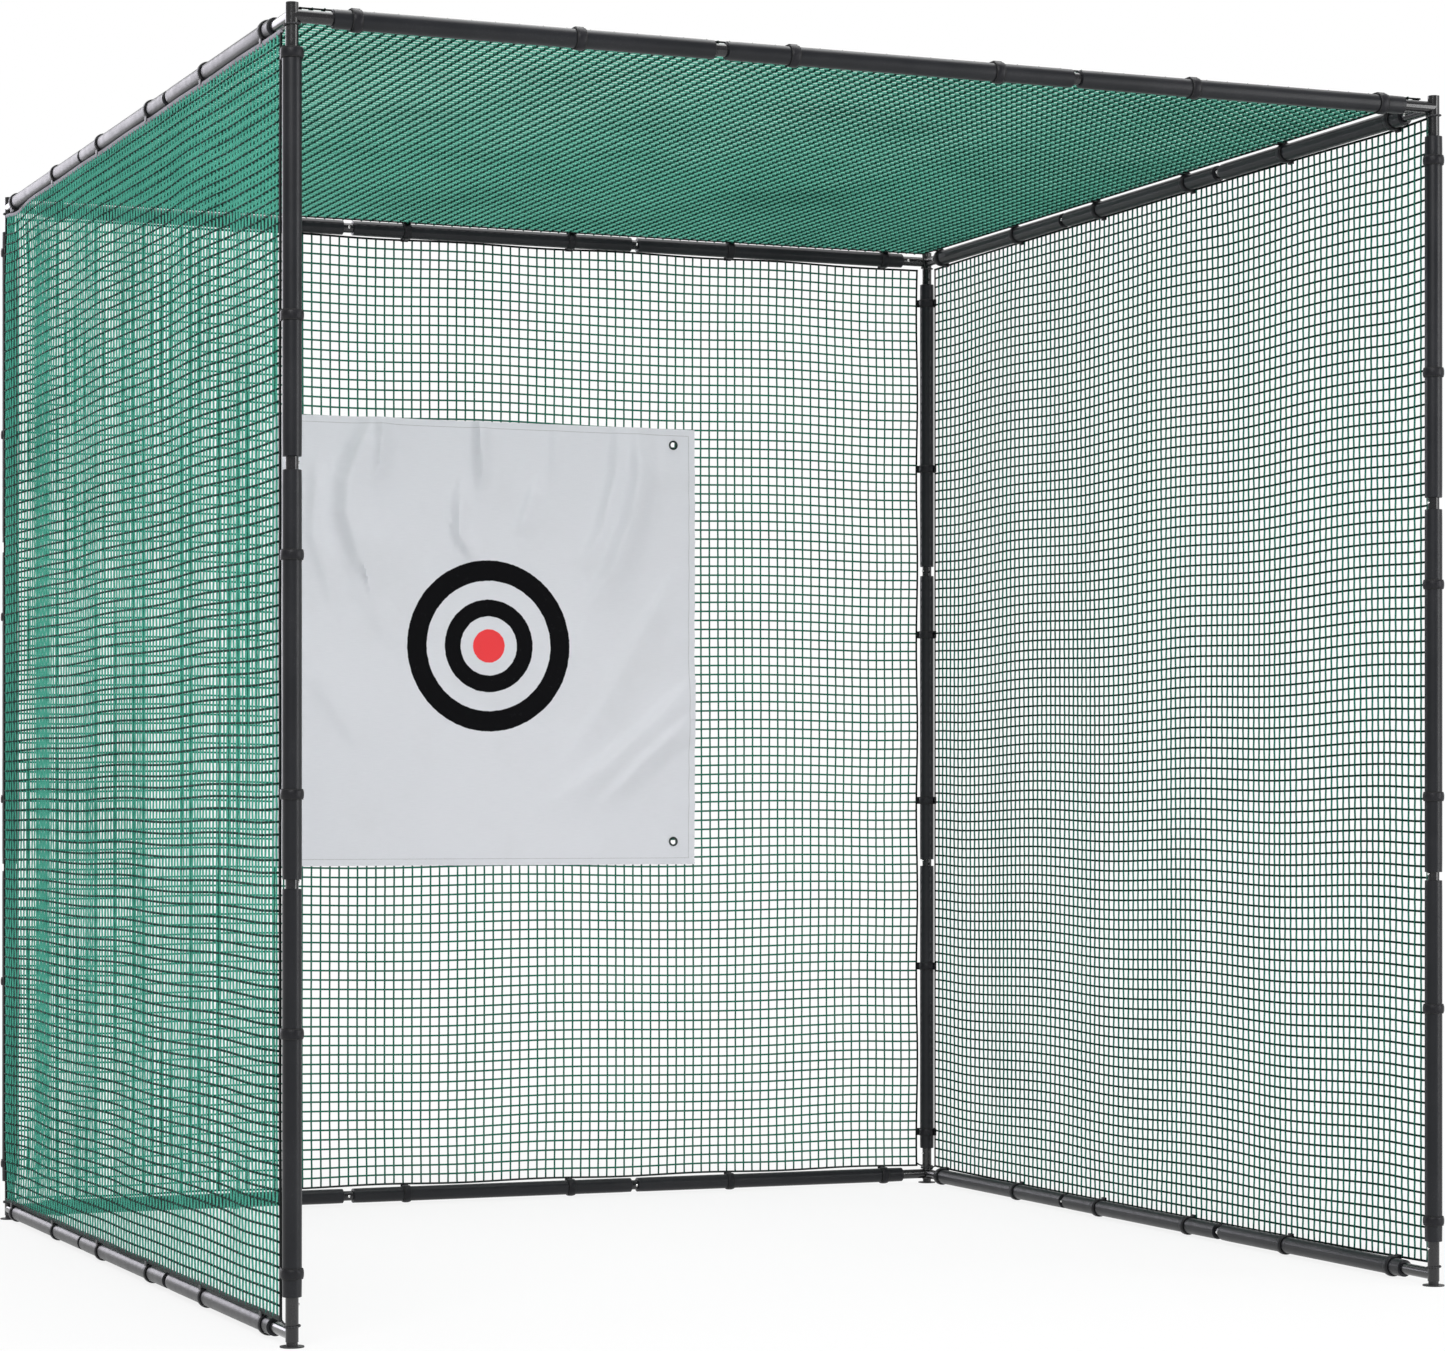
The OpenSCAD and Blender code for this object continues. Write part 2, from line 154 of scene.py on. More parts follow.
def light_studio():
    """A room that is white towards the backdrop and dimmer elsewhere, with four softboxes."""
    world = bpy.data.worlds.new("studio")
    bpy.context.scene.world = world
    world.use_nodes = True
    tree = world.node_tree
    tree.nodes.clear()
    rays = tree.nodes.new("ShaderNodeLightPath").outputs
    where = tree.nodes.new("ShaderNodeTexCoord").outputs
    facing = tree.nodes.new("ShaderNodeVectorMath")
    facing.operation = "DOT_PRODUCT"
    facing.inputs[1].default_value = BACKDROP_WAY
    tree.links.new(where["Generated"], facing.inputs[0])
    room = spread(tree, facing.outputs["Value"], -0.25, 0.35, ROOM_LIGHT, 1.0)
    mirrored = times(tree, rays["Is Glossy Ray"], room)
    seen = maths(tree, "MAXIMUM", rays["Is Camera Ray"], mirrored)
    white = maths(tree, "MAXIMUM", seen, rays["Is Transmission Ray"])
    strength = maths(tree, "MAXIMUM", white, ROOM_LIGHT)
    backdrop = add_node(tree, "Background", Color=WHITE, Strength=strength)
    output = tree.nodes.new("ShaderNodeOutputWorld")
    tree.links.new(backdrop.outputs[0], output.inputs["Surface"])

    add_softbox("key", (-5.0, -8.0, 7.5), (0, 0, 1.4), (5.0, 5.0), 580)
    add_softbox("right_strip", (5.8, -6.5, 2.5), (0, 0, 1.5), (2.4, 6.0), 270)
    add_softbox("top", (0.5, 0.5, 8.0), (0, 0, 1.5), (6, 6), 350)
    add_softbox("rear_left", (-5.5, 14.0, 5.2), (-1.5, 0, 2.5), (6.0, 7.6), 560, (0.93, 0.90, 1.0))


# ---- Node helpers


def plug(tree, value, socket):
    """Feeds a socket with a link, a number, a vector or a colour."""
    if isinstance(value, bpy.types.NodeSocket):
        tree.links.new(value, socket)
    elif isinstance(value, tuple) and socket.type == "RGBA":
        socket.default_value = (*value, 1.0)
    else:
        socket.default_value = value


def feed(tree, node, **values):
    """Feeds a node's sockets by name; an underscore stands for a space."""
    for label, value in values.items():
        plug(tree, value, node.inputs[label.replace("_", " ")])
    return node


def add_node(tree, kind, **values):
    return feed(tree, tree.nodes.new("ShaderNode" + kind), **values)


def group_shell(name, values, results):
    """An empty shader group fed by a vector and by named values."""
    tree = bpy.data.node_groups.new(name, "ShaderNodeTree")
    tree.interface.new_socket("Vector", in_out="INPUT", socket_type="NodeSocketVector")
    for label, value in values.items():
        kind = "NodeSocketColor" if isinstance(value, tuple) else "NodeSocketFloat"
        socket = tree.interface.new_socket(label, in_out="INPUT", socket_type=kind)
        socket.default_value = value
    for label in results:
        kind = "NodeSocketColor" if label == "Color" else "NodeSocketFloat"
        tree.interface.new_socket(label, in_out="OUTPUT", socket_type=kind)
    entry = tree.nodes.new("NodeGroupInput").outputs
    leave = tree.nodes.new("NodeGroupOutput")
    return tree, entry, leave


def maths(tree, operation, *values):
    """A math node fed by sockets or numbers."""
    node = tree.nodes.new("ShaderNodeMath")
    node.operation = operation
    for socket, value in zip(node.inputs, values):
        plug(tree, value, socket)
    return node.outputs[0]


def times(tree, first, second):
    return maths(tree, "MULTIPLY", first, second)


def wave(tree, value, rate):
    return maths(tree, "SINE", times(tree, value, rate))


def noise(tree, vector, scale, detail, roughness):
    node = add_node(tree, "TexNoise", Vector=vector, Scale=scale, Detail=detail, Roughness=roughness)
    return node.outputs["Fac"]


def mapped(tree, vector, **values):
    return add_node(tree, "Mapping", Vector=vector, **values).outputs[0]


def length_of(tree, vector):
    node = tree.nodes.new("ShaderNodeVectorMath")
    node.operation = "LENGTH"
    plug(tree, vector, node.inputs[0])
    return node.outputs["Value"]


def spread(tree, value, low, high, to_low=0.0, to_high=1.0):
    """The value stretched from low..high to to_low..to_high, and clamped."""
    ends = {"From_Min": low, "From_Max": high, "To_Min": to_low, "To_Max": to_high}
    return add_node(tree, "MapRange", Value=value, **ends).outputs["Result"]


def blend(tree, factor, first, second):
    node = tree.nodes.new("ShaderNodeMix")
    node.data_type = "RGBA"
    tree.links.new(factor, node.inputs["Factor"])
    ends = [socket for socket in node.inputs if socket.type == "RGBA"]
    plug(tree, first, ends[0])
    plug(tree, second, ends[1])
    return [socket for socket in node.outputs if socket.type == "RGBA"][0]


def split(tree, vector):
    node = tree.nodes.new("ShaderNodeSeparateXYZ")
    plug(tree, vector, node.inputs[0])
    return node.outputs


def new_material(name):
    """A material with its node tree and its texture coordinates."""
    made = bpy.data.materials.new(name)
    made.use_nodes = True
    tree = made.node_tree
    return made, tree, tree.nodes.new("ShaderNodeTexCoord").outputs


def place_group(tree, group, vector, **values):
    node = tree.nodes.new("ShaderNodeGroup")
    node.node_tree = group
    return feed(tree, node, Vector=vector, **values).outputs


def finish(made, colour, rough, relief, distance, strength, **values):
    """Gives the material its colour, roughness and bump, and its even values."""
    tree = made.node_tree
    bump = add_node(tree, "Bump", Height=relief, Distance=distance, Strength=strength)
    shader = tree.nodes["Principled BSDF"]
    normal = bump.outputs["Normal"]
    feed(tree, shader, Base_Color=colour, Roughness=rough, Normal=normal, **values)
    return made


# ---- Shared effects


def make_wear_group():
    """Handling wear: broad smudges, dust and fine scratches."""
    scales = {"Smudge Scale": 9.0, "Scratch Scale": 60.0}
    tree, entry, leave = group_shell("handling_wear", scales, ("Smudge", "Dust", "Scratch"))
    vector = entry["Vector"]
    broad = noise(tree, vector, entry["Smudge Scale"], 4.0, 0.6)
    fine = noise(tree, vector, 420.0, 2.0, 0.5)
    squeezed = mapped(tree, vector, Scale=(1.0, 1.0, 0.06), Rotation=(0.4, 0.3, 0.0))
    lines = noise(tree, squeezed, entry["Scratch Scale"], 6.0, 0.75)
    smudge = spread(tree, broad, 0.38, 0.68)
    dust = times(tree, spread(tree, fine, 0.60, 0.72), smudge)
    feed(tree, leave, Smudge=smudge, Dust=dust, Scratch=spread(tree, lines, 0.66, 0.74))
    return tree


def make_twist_group():
    """Plaited cord: slanting plies along U, with the ply crowns painted lighter as a highlight."""
    values = {
        "Plies Along": 400.0,
        "Plies Round": 2.0,
        "Yarn": (0.1, 0.1, 0.1, 1.0),
        "Crown": (0.2, 0.2, 0.2, 1.0),
    }
    tree, entry, leave = group_shell("plaited_cord", values, ("Color", "Height"))
    axes = split(tree, entry["Vector"])
    along = times(tree, axes["X"], entry["Plies Along"])
    around = times(tree, axes["Y"], entry["Plies Round"])
    left = maths(tree, "ADD", along, around)
    right = maths(tree, "SUBTRACT", along, around)
    first = wave(tree, left, 2 * math.pi)
    second = wave(tree, right, 2 * math.pi)
    crown = spread(tree, maths(tree, "MAXIMUM", first, second), -0.6, 1.0)
    # Painted highlight: the lighter Crown colour on the ply crowns, the Yarn colour in the grooves.
    colour = blend(tree, crown, entry["Yarn"], entry["Crown"])
    feed(tree, leave, Color=colour, Height=crown)
    return tree


def make_weave_group():
    """Plain weave: threads over and under in the X and Y directions of the vector."""
    tree, entry, leave = group_shell("plain_weave", {"Threads": 1200.0}, ("Height", "Thread Tone"))
    axes = split(tree, entry["Vector"])
    across = times(tree, axes["X"], entry["Threads"])
    along = times(tree, axes["Y"], entry["Threads"])
    warp = wave(tree, across, math.pi)
    weft = wave(tree, along, math.pi)
    height = spread(tree, times(tree, warp, weft), -1.0, 1.0)
    stretched = mapped(tree, entry["Vector"], Scale=(0.02, 1.0, 1.0))
    slubs = noise(tree, stretched, entry["Threads"], 2.0, 0.6)
    feed(tree, leave, Height=height, Thread_Tone=spread(tree, slubs, 0.3, 0.7))
    return tree


def make_grain_group():
    """Moulded grain: fine pebbles with a slower unevenness under them."""
    tree, entry, leave = group_shell("moulded_grain", {"Grain Scale": 900.0}, ("Height", "Tone"))
    cells = tree.nodes.new("ShaderNodeTexVoronoi")
    cells.feature = "SMOOTH_F1"
    feed(tree, cells, Vector=entry["Vector"], Scale=entry["Grain Scale"])
    slow = noise(tree, entry["Vector"], 35.0, 3.0, 0.5)
    height = maths(tree, "ADD", cells.outputs["Distance"], slow)
    feed(tree, leave, Height=height, Tone=spread(tree, slow, 0.35, 0.65))
    return tree


WEAR = make_wear_group()
TWIST = make_twist_group()
WEAVE = make_weave_group()
GRAIN = make_grain_group()


def worn_by_hand(tree, point, smudge_scale, scratch_scale):
    scales = {"Smudge_Scale": smudge_scale, "Scratch_Scale": scratch_scale}
    return place_group(tree, WEAR, point, **scales)


def plied(tree, where, along, around, yarn, crown):
    values = {"Plies_Along": along, "Plies_Round": around, "Yarn": yarn, "Crown": crown}
    return place_group(tree, TWIST, where["UV"], **values)


# ---- Materials


def enamel(name, colour, faded, rough):
    """Black tube enamel: gloss with orange peel, smudges, dust and hairline scratches."""
    made, tree, where = new_material(name)
    wear = worn_by_hand(tree, where["Object"], 7.0, 90.0)
    aged = blend(tree, wear["Smudge"], colour, faded)
    dusted = blend(tree, wear["Dust"], aged, (0.09, 0.088, 0.085))
    gloss = spread(tree, wear["Smudge"], 0.0, 1.0, rough, rough + 0.08)
    peel = noise(tree, where["Object"], 240.0, 2.0, 0.4)
    relief = maths(tree, "SUBTRACT", peel, wear["Scratch"])
    return finish(made, dusted, gloss, relief, 0.00012, 0.5, IOR=1.55)


def foot_plastic():
    """Satin black moulding with grain and scuffs."""
    made, tree, where = new_material("foot_plastic")
    grain = place_group(tree, GRAIN, where["Object"], Grain_Scale=1100.0)
    wear = worn_by_hand(tree, where["Object"], 25.0, 120.0)
    tone = blend(tree, grain["Tone"], (0.012, 0.012, 0.013), (0.024, 0.024, 0.026))
    scuffed = blend(tree, wear["Dust"], tone, (0.16, 0.15, 0.14))
    satin = spread(tree, grain["Tone"], 0.0, 1.0, 0.42, 0.6)
    return finish(made, scuffed, satin, grain["Height"], 0.00015, 0.4)


def spring_steel():
    """Blued strip steel, brushed along its length."""
    made, tree, where = new_material("spring_steel")
    brushed = mapped(tree, where["Object"], Scale=(40.0, 900.0, 900.0))
    lines = noise(tree, brushed, 1.0, 4.0, 0.6)
    wear = place_group(tree, WEAR, where["Object"], Smudge_Scale=60.0)
    tone = blend(tree, lines, (0.34, 0.33, 0.32), (0.62, 0.61, 0.60))
    gloss = spread(tree, wear["Smudge"], 0.0, 1.0, 0.28, 0.45)
    return finish(made, tone, gloss, lines, 0.00003, 0.5, Metallic=1.0)


def plated_metal(name, fresh, rubbed, scales, sheen, metallic, distance, strength):
    """Metal that handling has rubbed in patches, with fine scratches."""
    made, tree, where = new_material(name)
    wear = worn_by_hand(tree, where["Object"], *scales)
    tone = blend(tree, wear["Smudge"], fresh, rubbed)
    gloss = spread(tree, wear["Smudge"], 0.0, 1.0, *sheen)
    return finish(made, tone, gloss, wear["Scratch"], distance, strength, Metallic=metallic)


def foam_skin():
    """Closed-cell foam sleeve: a smooth extruded skin with fine pores and slow dents."""
    made, tree, where = new_material("foam_skin")
    point = where["Object"]
    pores = add_node(tree, "TexVoronoi", Vector=point, Scale=1400.0)
    dents = noise(tree, point, 28.0, 4.0, 0.55)
    wear = worn_by_hand(tree, point, 5.0, 40.0)
    shade = blend(tree, wear["Smudge"], (0.008, 0.0088, 0.0112), (0.013, 0.0137, 0.0168))
    dusted = blend(tree, wear["Dust"], shade, (0.035, 0.035, 0.037))
    rough = spread(tree, dents, 0.3, 0.7, 0.34, 0.41)
    relief = maths(tree, "MULTIPLY_ADD", pores.outputs["Distance"], 0.05, dents)
    return finish(made, dusted, rough, relief, 0.0003, 0.1, Specular_IOR_Level=0.30)


def strap_webbing():
    """Woven webbing collar: ribs across the band and a soft nap."""
    made, tree, where = new_material("strap_webbing")
    weave = place_group(tree, WEAVE, where["UV"], Threads=900.0)
    tone = blend(tree, weave["Height"], (0.007, 0.007, 0.009), (0.012, 0.012, 0.015))
    worn = noise(tree, where["Object"], 40.0, 3.0, 0.6)
    nap = blend(tree, spread(tree, worn, 0.45, 0.75), tone, (0.016, 0.016, 0.019))
    rough = spread(tree, worn, 0.3, 0.7, 0.36, 0.46)
    return finish(made, nap, rough, weave["Height"], 0.0002, 0.4, Specular_IOR_Level=0.22)


def plaited_cord(name, plies, yarn, crown, lint_scale, lint_detail, dry, distance, strength):
    """Black cord or thread of slanting plies, with lint that dulls it unevenly."""
    made, tree, where = new_material(name)
    cord = plied(tree, where, *plies, yarn, crown)
    lint = noise(tree, where["Object"], lint_scale, lint_detail, 0.6)
    rough = spread(tree, lint, 0.3, 0.7, *dry)
    return finish(made, cord["Color"], rough, cord["Height"], distance, strength)


def net_cord(name, yarn, crown, rough, between=None):
    """Knotted net cord: plaited yarn with a waxy finish that varies from strand to strand.

    Between its knots the cord can take a second, lighter colour, and at the knots it keeps its own colour;
    on the roof's uprights both are painted shade, near black at the knots.
    """
    made, tree, where = new_material(name)
    cord = plied(tree, where, 160.0, 1.0, yarn, crown)
    tint = cord["Color"]
    if between:
        along = split(tree, where["UV"])["X"]
        beat = maths(tree, "COSINE", times(tree, along, 2 * math.pi / NET_PITCH))
        # Painted shade on the roof's uprights: near black at the knots, the second colour between them.
        tint = blend(tree, spread(tree, beat, -0.35, 0.10), between, tint)
    drift = noise(tree, where["Object"], 2.3, 3.0, 0.6)
    dirty = tuple(0.55 * value for value in yarn)
    tone = blend(tree, spread(tree, drift, 0.45, 0.85, 0.0, 0.5), tint, dirty)
    wax = spread(tree, drift, 0.3, 0.7, rough, rough + 0.15)
    return finish(made, tone, wax, cord["Height"], 0.0003, 0.5, Specular_IOR_Level=0.02)


def net_hem(name, colour, lighter):
    """Folded hem tape: a ribbed weave with patches of grime."""
    made, tree, where = new_material(name)
    weave = place_group(tree, WEAVE, where["UV"], Threads=1400.0)
    tone = blend(tree, weave["Height"], colour, lighter)
    grime = noise(tree, where["Object"], 6.0, 4.0, 0.6)
    dulled = blend(tree, spread(tree, grime, 0.5, 0.8, 0.0, 0.6), tone, (0.02, 0.02, 0.019))
    rough = spread(tree, grime, 0.3, 0.7, 0.55, 0.75)
    return finish(made, dulled, rough, weave["Height"], 0.0003, 0.5, Specular_IOR_Level=0.05)


def ring_band(tree, distance, inner, outer, blur=0.0009):
    """A mask that is 1 between two radii, with a soft printed edge."""
    rise = spread(tree, distance, inner - blur, inner + blur)
    fall = spread(tree, distance, outer - blur, outer + blur, 1.0, 0.0)
    return times(tree, rise, fall)


def target_cloth():
    """Pale canvas with stains, a stitched hem and printed rings that show faintly on the back."""
    made, tree, where = new_material("target_cloth")
    axes = split(tree, mapped(tree, where["Object"], Location=(0, 0, -RING_CENTRE_Z)))
    flat = add_node(tree, "CombineXYZ", X=axes["X"], Y=axes["Z"]).outputs[0]
    wobble = noise(tree, flat, 60.0, 2.0, 0.5)
    drift = spread(tree, wobble, 0.3, 0.7, -0.0008, 0.0008)
    distance = maths(tree, "ADD", length_of(tree, flat), drift)

    weave = place_group(tree, WEAVE, flat, Threads=1300.0)
    canvas = blend(tree, weave["Thread Tone"], (0.780, 0.780, 0.828), (0.825, 0.825, 0.868))
    stains = noise(tree, flat, 3.0, 4.0, 0.6)
    canvas = blend(tree, spread(tree, stains, 0.5, 0.8, 0.0, 0.35), canvas, (0.70, 0.70, 0.72))

    outer = ring_band(tree, distance, *OUTER_RING)
    inner = ring_band(tree, distance, *INNER_RING)
    worn = noise(tree, flat, 45.0, 5.0, 0.7)
    rubbed = spread(tree, worn, 0.25, 0.4, 0.985, 1.0)
    ink = times(tree, maths(tree, "MAXIMUM", outer, inner), rubbed)
    facing = split(tree, where["Normal"])["Y"]
    through = spread(tree, facing, -0.1, 0.1, 1.0, PRINT_THROUGH)
    black = times(tree, ink, through)
    printed = blend(tree, black, canvas, (0.006, 0.006, 0.007))
    red = times(tree, spread(tree, distance, *RED_EDGE, 1.0, 0.0), through)
    printed = blend(tree, red, printed, (0.99, 0.070, 0.078))

    side = maths(tree, "ABSOLUTE", axes["X"])
    level = maths(tree, "ABSOLUTE", maths(tree, "ADD", axes["Z"], RING_CENTRE_Z - SHEET_Z))
    edge = maths(tree, "MAXIMUM", side, level)
    line = ring_band(tree, edge, SHEET_SIZE / 2 - 0.0215, SHEET_SIZE / 2 - 0.0195, 0.0004)
    slant = maths(tree, "ADD", axes["X"], axes["Z"])
    thread = wave(tree, slant, 1700.0)
    stitch = times(tree, line, spread(tree, thread, -0.4, -0.2))
    sewn = blend(tree, stitch, printed, (0.42, 0.42, 0.43))

    matt = spread(tree, weave["Height"], 0.0, 1.0, 0.72, 0.85)
    relief = maths(tree, "SUBTRACT", weave["Height"], times(tree, stitch, 2.0))
    return finish(made, sewn, matt, relief, 0.00025, 0.5, Specular_IOR_Level=0.05)


def floor_paint():
    """Plain pale studio floor: white to the camera, and it keeps the object's soft shadow."""
    made, tree, where = new_material("floor_paint")
    mottle = noise(tree, where["Object"], 1.5, 3.0, 0.5)
    tone = blend(tree, mottle, (0.90, 0.90, 0.90), (0.92, 0.92, 0.92))
    shader = tree.nodes["Principled BSDF"]
    feed(tree, shader, Base_Color=tone, Roughness=0.9, Specular_IOR_Level=0.0)
    glow = add_node(tree, "Emission", Color=WHITE)
    rays = tree.nodes.new("ShaderNodeLightPath").outputs
    white = spread(tree, length_of(tree, where["Object"]), 1.5, 4.5, 0.82, 1.0)
    seen = maths(tree, "MAXIMUM", rays["Is Camera Ray"], rays["Is Glossy Ray"])
    seen = maths(tree, "MAXIMUM", seen, rays["Is Transmission Ray"])
    mixed = add_node(tree, "MixShader", Fac=times(tree, seen, white))
    tree.links.new(shader.outputs[0], mixed.inputs[1])
    tree.links.new(glow.outputs[0], mixed.inputs[2])
    tree.links.new(mixed.outputs[0], tree.nodes["Material Output"].inputs["Surface"])
    return made


# ---- Mesh helpers


def deselect_all():
    if bpy.context.object and bpy.context.object.mode != "OBJECT":
        bpy.ops.object.mode_set(mode="OBJECT")
    bpy.ops.object.select_all(action="DESELECT")


def pick(piece):
    deselect_all()
    piece.select_set(True)
    bpy.context.view_layer.objects.active = piece


def smooth(piece, angle):
    pick(piece)
    bpy.ops.object.shade_smooth_by_angle(angle=math.radians(angle))
    deselect_all()


def apply_modifier(piece, kind, **settings):
    """Adds a modifier to the active piece, sets it and applies it."""
    bpy.ops.object.modifier_add(type=kind)
    modifier = piece.modifiers[-1]
    for label, value in settings.items():
        setattr(modifier, label, value)
    bpy.ops.object.modifier_apply(modifier=modifier.name)


def read_corners(piece):
    """The corners of a mesh as rows of X, Y and Z."""
    places = np.zeros(len(piece.data.vertices) * 3, np.float32)
    piece.data.vertices.foreach_get("co", places)
    return places.reshape(-1, 3).astype(float)


def write_corners(piece, places):
    piece.data.vertices.foreach_set("co", places.astype(np.float32).ravel())
    piece.data.update()


def join(name, pieces):
    """Joins pieces into the first one and names it."""
    pick(pieces[0])
    for piece in pieces:
        piece.select_set(True)
    bpy.context.view_layer.objects.active = pieces[0]
    bpy.ops.object.join()
    joined = bpy.context.object
    joined.name = name
    joined.data.name = name
    deselect_all()
    return joined


def settle(piece, slot, *nodes):
    """The finished piece rides on the frame and stands for CAD nodes, which it hides; the slot is not
    used.
    """
    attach(piece, "frame")
    if nodes:
        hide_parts(*nodes)


def loft(rings, closed):
    """Corners, faces and UVs of a skin over rings of equal count; U runs along, V around."""
    count = len(rings[0])
    points = [p for ring in rings for p in ring]
    faces = []
    uvs = []
    middles = [np.mean(np.array([tuple(p) for p in ring]), axis=0) for ring in rings]
    runs = [0.0]
    for a, b in zip(middles, middles[1:]):
        runs.append(runs[-1] + float(np.linalg.norm(b - a)))
    around = [0.0]
    first = [np.array(tuple(p)) for p in rings[0]]
    for k in range(count):
        step = float(np.linalg.norm(first[(k + 1) % count] - first[k]))
        around.append(around[-1] + step)
    spans = len(rings) if closed else len(rings) - 1
    for i in range(spans):
        j = (i + 1) % len(rings)
        low = runs[i]
        high = runs[j] if j else runs[i] + float(np.linalg.norm(middles[0] - middles[i]))
        for k in range(count):
            n = (k + 1) % count
            faces.append((i * count + k, i * count + n, j * count + n, j * count + k))
            uvs += [(low, around[k]), (low, around[k + 1])]
            uvs += [(high, around[k + 1]), (high, around[k])]
    if not closed:
        faces.append(tuple(reversed(range(count))))
        uvs += [(around[k], 0.0) for k in range(count)]
        last = (len(rings) - 1) * count
        faces.append(tuple(last + k for k in range(count)))
        uvs += [(around[k], runs[-1]) for k in range(count)]
    return points, faces, uvs


def fix_normals(piece):
    pick(piece)
    bpy.ops.object.mode_set(mode="EDIT")
    bpy.ops.mesh.select_all(action="SELECT")
    bpy.ops.mesh.normals_make_consistent(inside=False)
    bpy.ops.object.mode_set(mode="OBJECT")
    deselect_all()


def skin(name, rings, closed, material):
    """A new piece with a skin over rings, all of its faces looking outward."""
    points, faces, uvs = loft(rings, closed)
    mesh = bpy.data.meshes.new(name)
    mesh.from_pydata([tuple(p) for p in points], [], faces)
    layer = mesh.uv_layers.new(name="UVMap")
    layer.data.foreach_set("uv", np.array(uvs, np.float32).ravel())
    mesh.materials.append(material)
    piece = bpy.data.objects.new(name, mesh)
    bpy.context.scene.collection.objects.link(piece)
    mesh.validate()
    fix_normals(piece)
    return piece


def swept(name, path, section, up, material, closed=False):
    """A section of (sideways, up) offsets carried along a path; up is a vector or one a point."""
    count = len(path)
    rings = []
    for i in range(count):
        before = path[i - 1] if i or closed else path[0]
        after = path[(i + 1) % count] if i < count - 1 or closed else path[-1]
        ahead = (Vector(after) - Vector(before)).normalized()
        upward = Vector(up[i]) if isinstance(up, list) else Vector(up)
        side = ahead.cross(upward).normalized()
        upward = side.cross(ahead).normalized()
        rings.append([Vector(path[i]) + side * a + upward * b for a, b in section])
    return skin(name, rings, closed, material)


def circle_section(radius, count):
    turn = 2 * math.pi / count
    return [(radius * math.cos(k * turn), radius * math.sin(k * turn)) for k in range(count)]


def round_z(radius, angle, level):
    """A point at a radius and an angle round the Z axis."""
    return Vector((radius * math.cos(angle), radius * math.sin(angle), level))


def band_section(half, bevel, thick, flank):
    """The eight corners of a flat band with bevelled edges."""
    return [
        (-half, -flank), (-half + bevel, -thick), (half - bevel, -thick), (half, -flank),
        (half, flank), (half - bevel, thick), (-half + bevel, thick), (-half, flank),
    ]


# ---- Posts and rails


class Member:
    """A post or rail: where it starts, which way it runs, and the nets that leave it."""

    def __init__(self, name, start, along, inward, kind, nets):
        self.name = name
        self.start = Vector(start)
        self.along = along
        self.inward = inward
        self.kind = kind
        self.nets = nets
        self.length = HEIGHT if kind == "post" else 2 * HALF
        near = {"post": FOOT_LEG, "x": SHORT_OUTLET, "y": LONG_OUTLET}[kind]
        first = near + (FOOT_SECTION if kind == "post" else RAIL_SECTION)
        second = first + (POST_SECTION if kind == "post" else RAIL_SECTION)
        last = self.length - (TOP_LEG if kind == "post" else SHORT_OUTLET)
        self.stops = (near, first, second, last)

    def at(self, distance):
        return self.start + self.along * distance

    def frame_at(self, distance):
        """Matrix with X inward, Z along, at a distance from the start."""
        third = self.along.cross(self.inward)
        turn = Matrix((self.inward, third, self.along)).transposed().to_4x4()
        return Matrix.Translation(self.at(distance)) @ turn

    def foam_runs(self):
        near, first, second, last = self.stops
        post = self.kind == "post"
        bare = POST_BARE if post else RAIL_BARE
        begin = near + (POST_FOAM_FOOT if post else FOAM_INSET)
        end = last - (POST_FOAM_TOP if post else FAR_FOAM_INSET)
        return [
            ("near", begin, first - JOINT_BARE),
            ("middle", first - JOINT_BARE + bare[0], second - JOINT_BARE),
            ("far", second - JOINT_BARE + bare[1], end),
        ]

    def strap_places(self):
        low, high = STRAP_ENDS[self.kind]
        pitch = (self.length - low - high) / (STRAP_COUNT - 1)
        places = [low + k * pitch for k in range(STRAP_COUNT)]
        if self.name == "post_front_left":
            places[-1] += STRAP_SLIP
        return places


def make_members():
    """Nets are given as (direction in which the net leaves, side on which it hangs)."""
    left, right, front, rear, up, down = -X_AXIS, X_AXIS, -Y_AXIS, Y_AXIS, Z_AXIS, -Z_AXIS
    return [
        Member("post_front_left", (-HALF, -HALF, 0), up, right, "post", [(rear, left)]),
        Member("post_front_right", (HALF, -HALF, 0), up, left, "post", [(rear, right)]),
        Member("post_rear_left", (-HALF, HALF, 0), up, right, "post", [(front, left), (right, rear)]),
        Member("post_rear_right", (HALF, HALF, 0), up, left, "post", [(front, right), (left, rear)]),
        Member("top_rail_front", (-HALF, -HALF, TOP_Z), right, rear, "x", [(rear, up)]),
        Member("top_rail_rear", (-HALF, HALF, TOP_Z), right, front, "x", [(front, up), (down, rear)]),
        Member("top_rail_left", (-HALF, -HALF, TOP_Z), rear, right, "y", [(right, up), (down, left)]),
        Member("top_rail_right", (HALF, -HALF, TOP_Z), rear, left, "y", [(left, up), (down, right)]),
        Member("bottom_rail_rear", (-HALF, HALF, RAIL_OFFSET), right, front, "x", [(up, rear)]),
        Member("bottom_rail_left", (-HALF, -HALF, RAIL_OFFSET), rear, right, "y", [(up, left)]),
        Member("bottom_rail_right", (HALF, -HALF, RAIL_OFFSET), rear, left, "y", [(up, right)]),
    ]


# ---- Foam sleeves


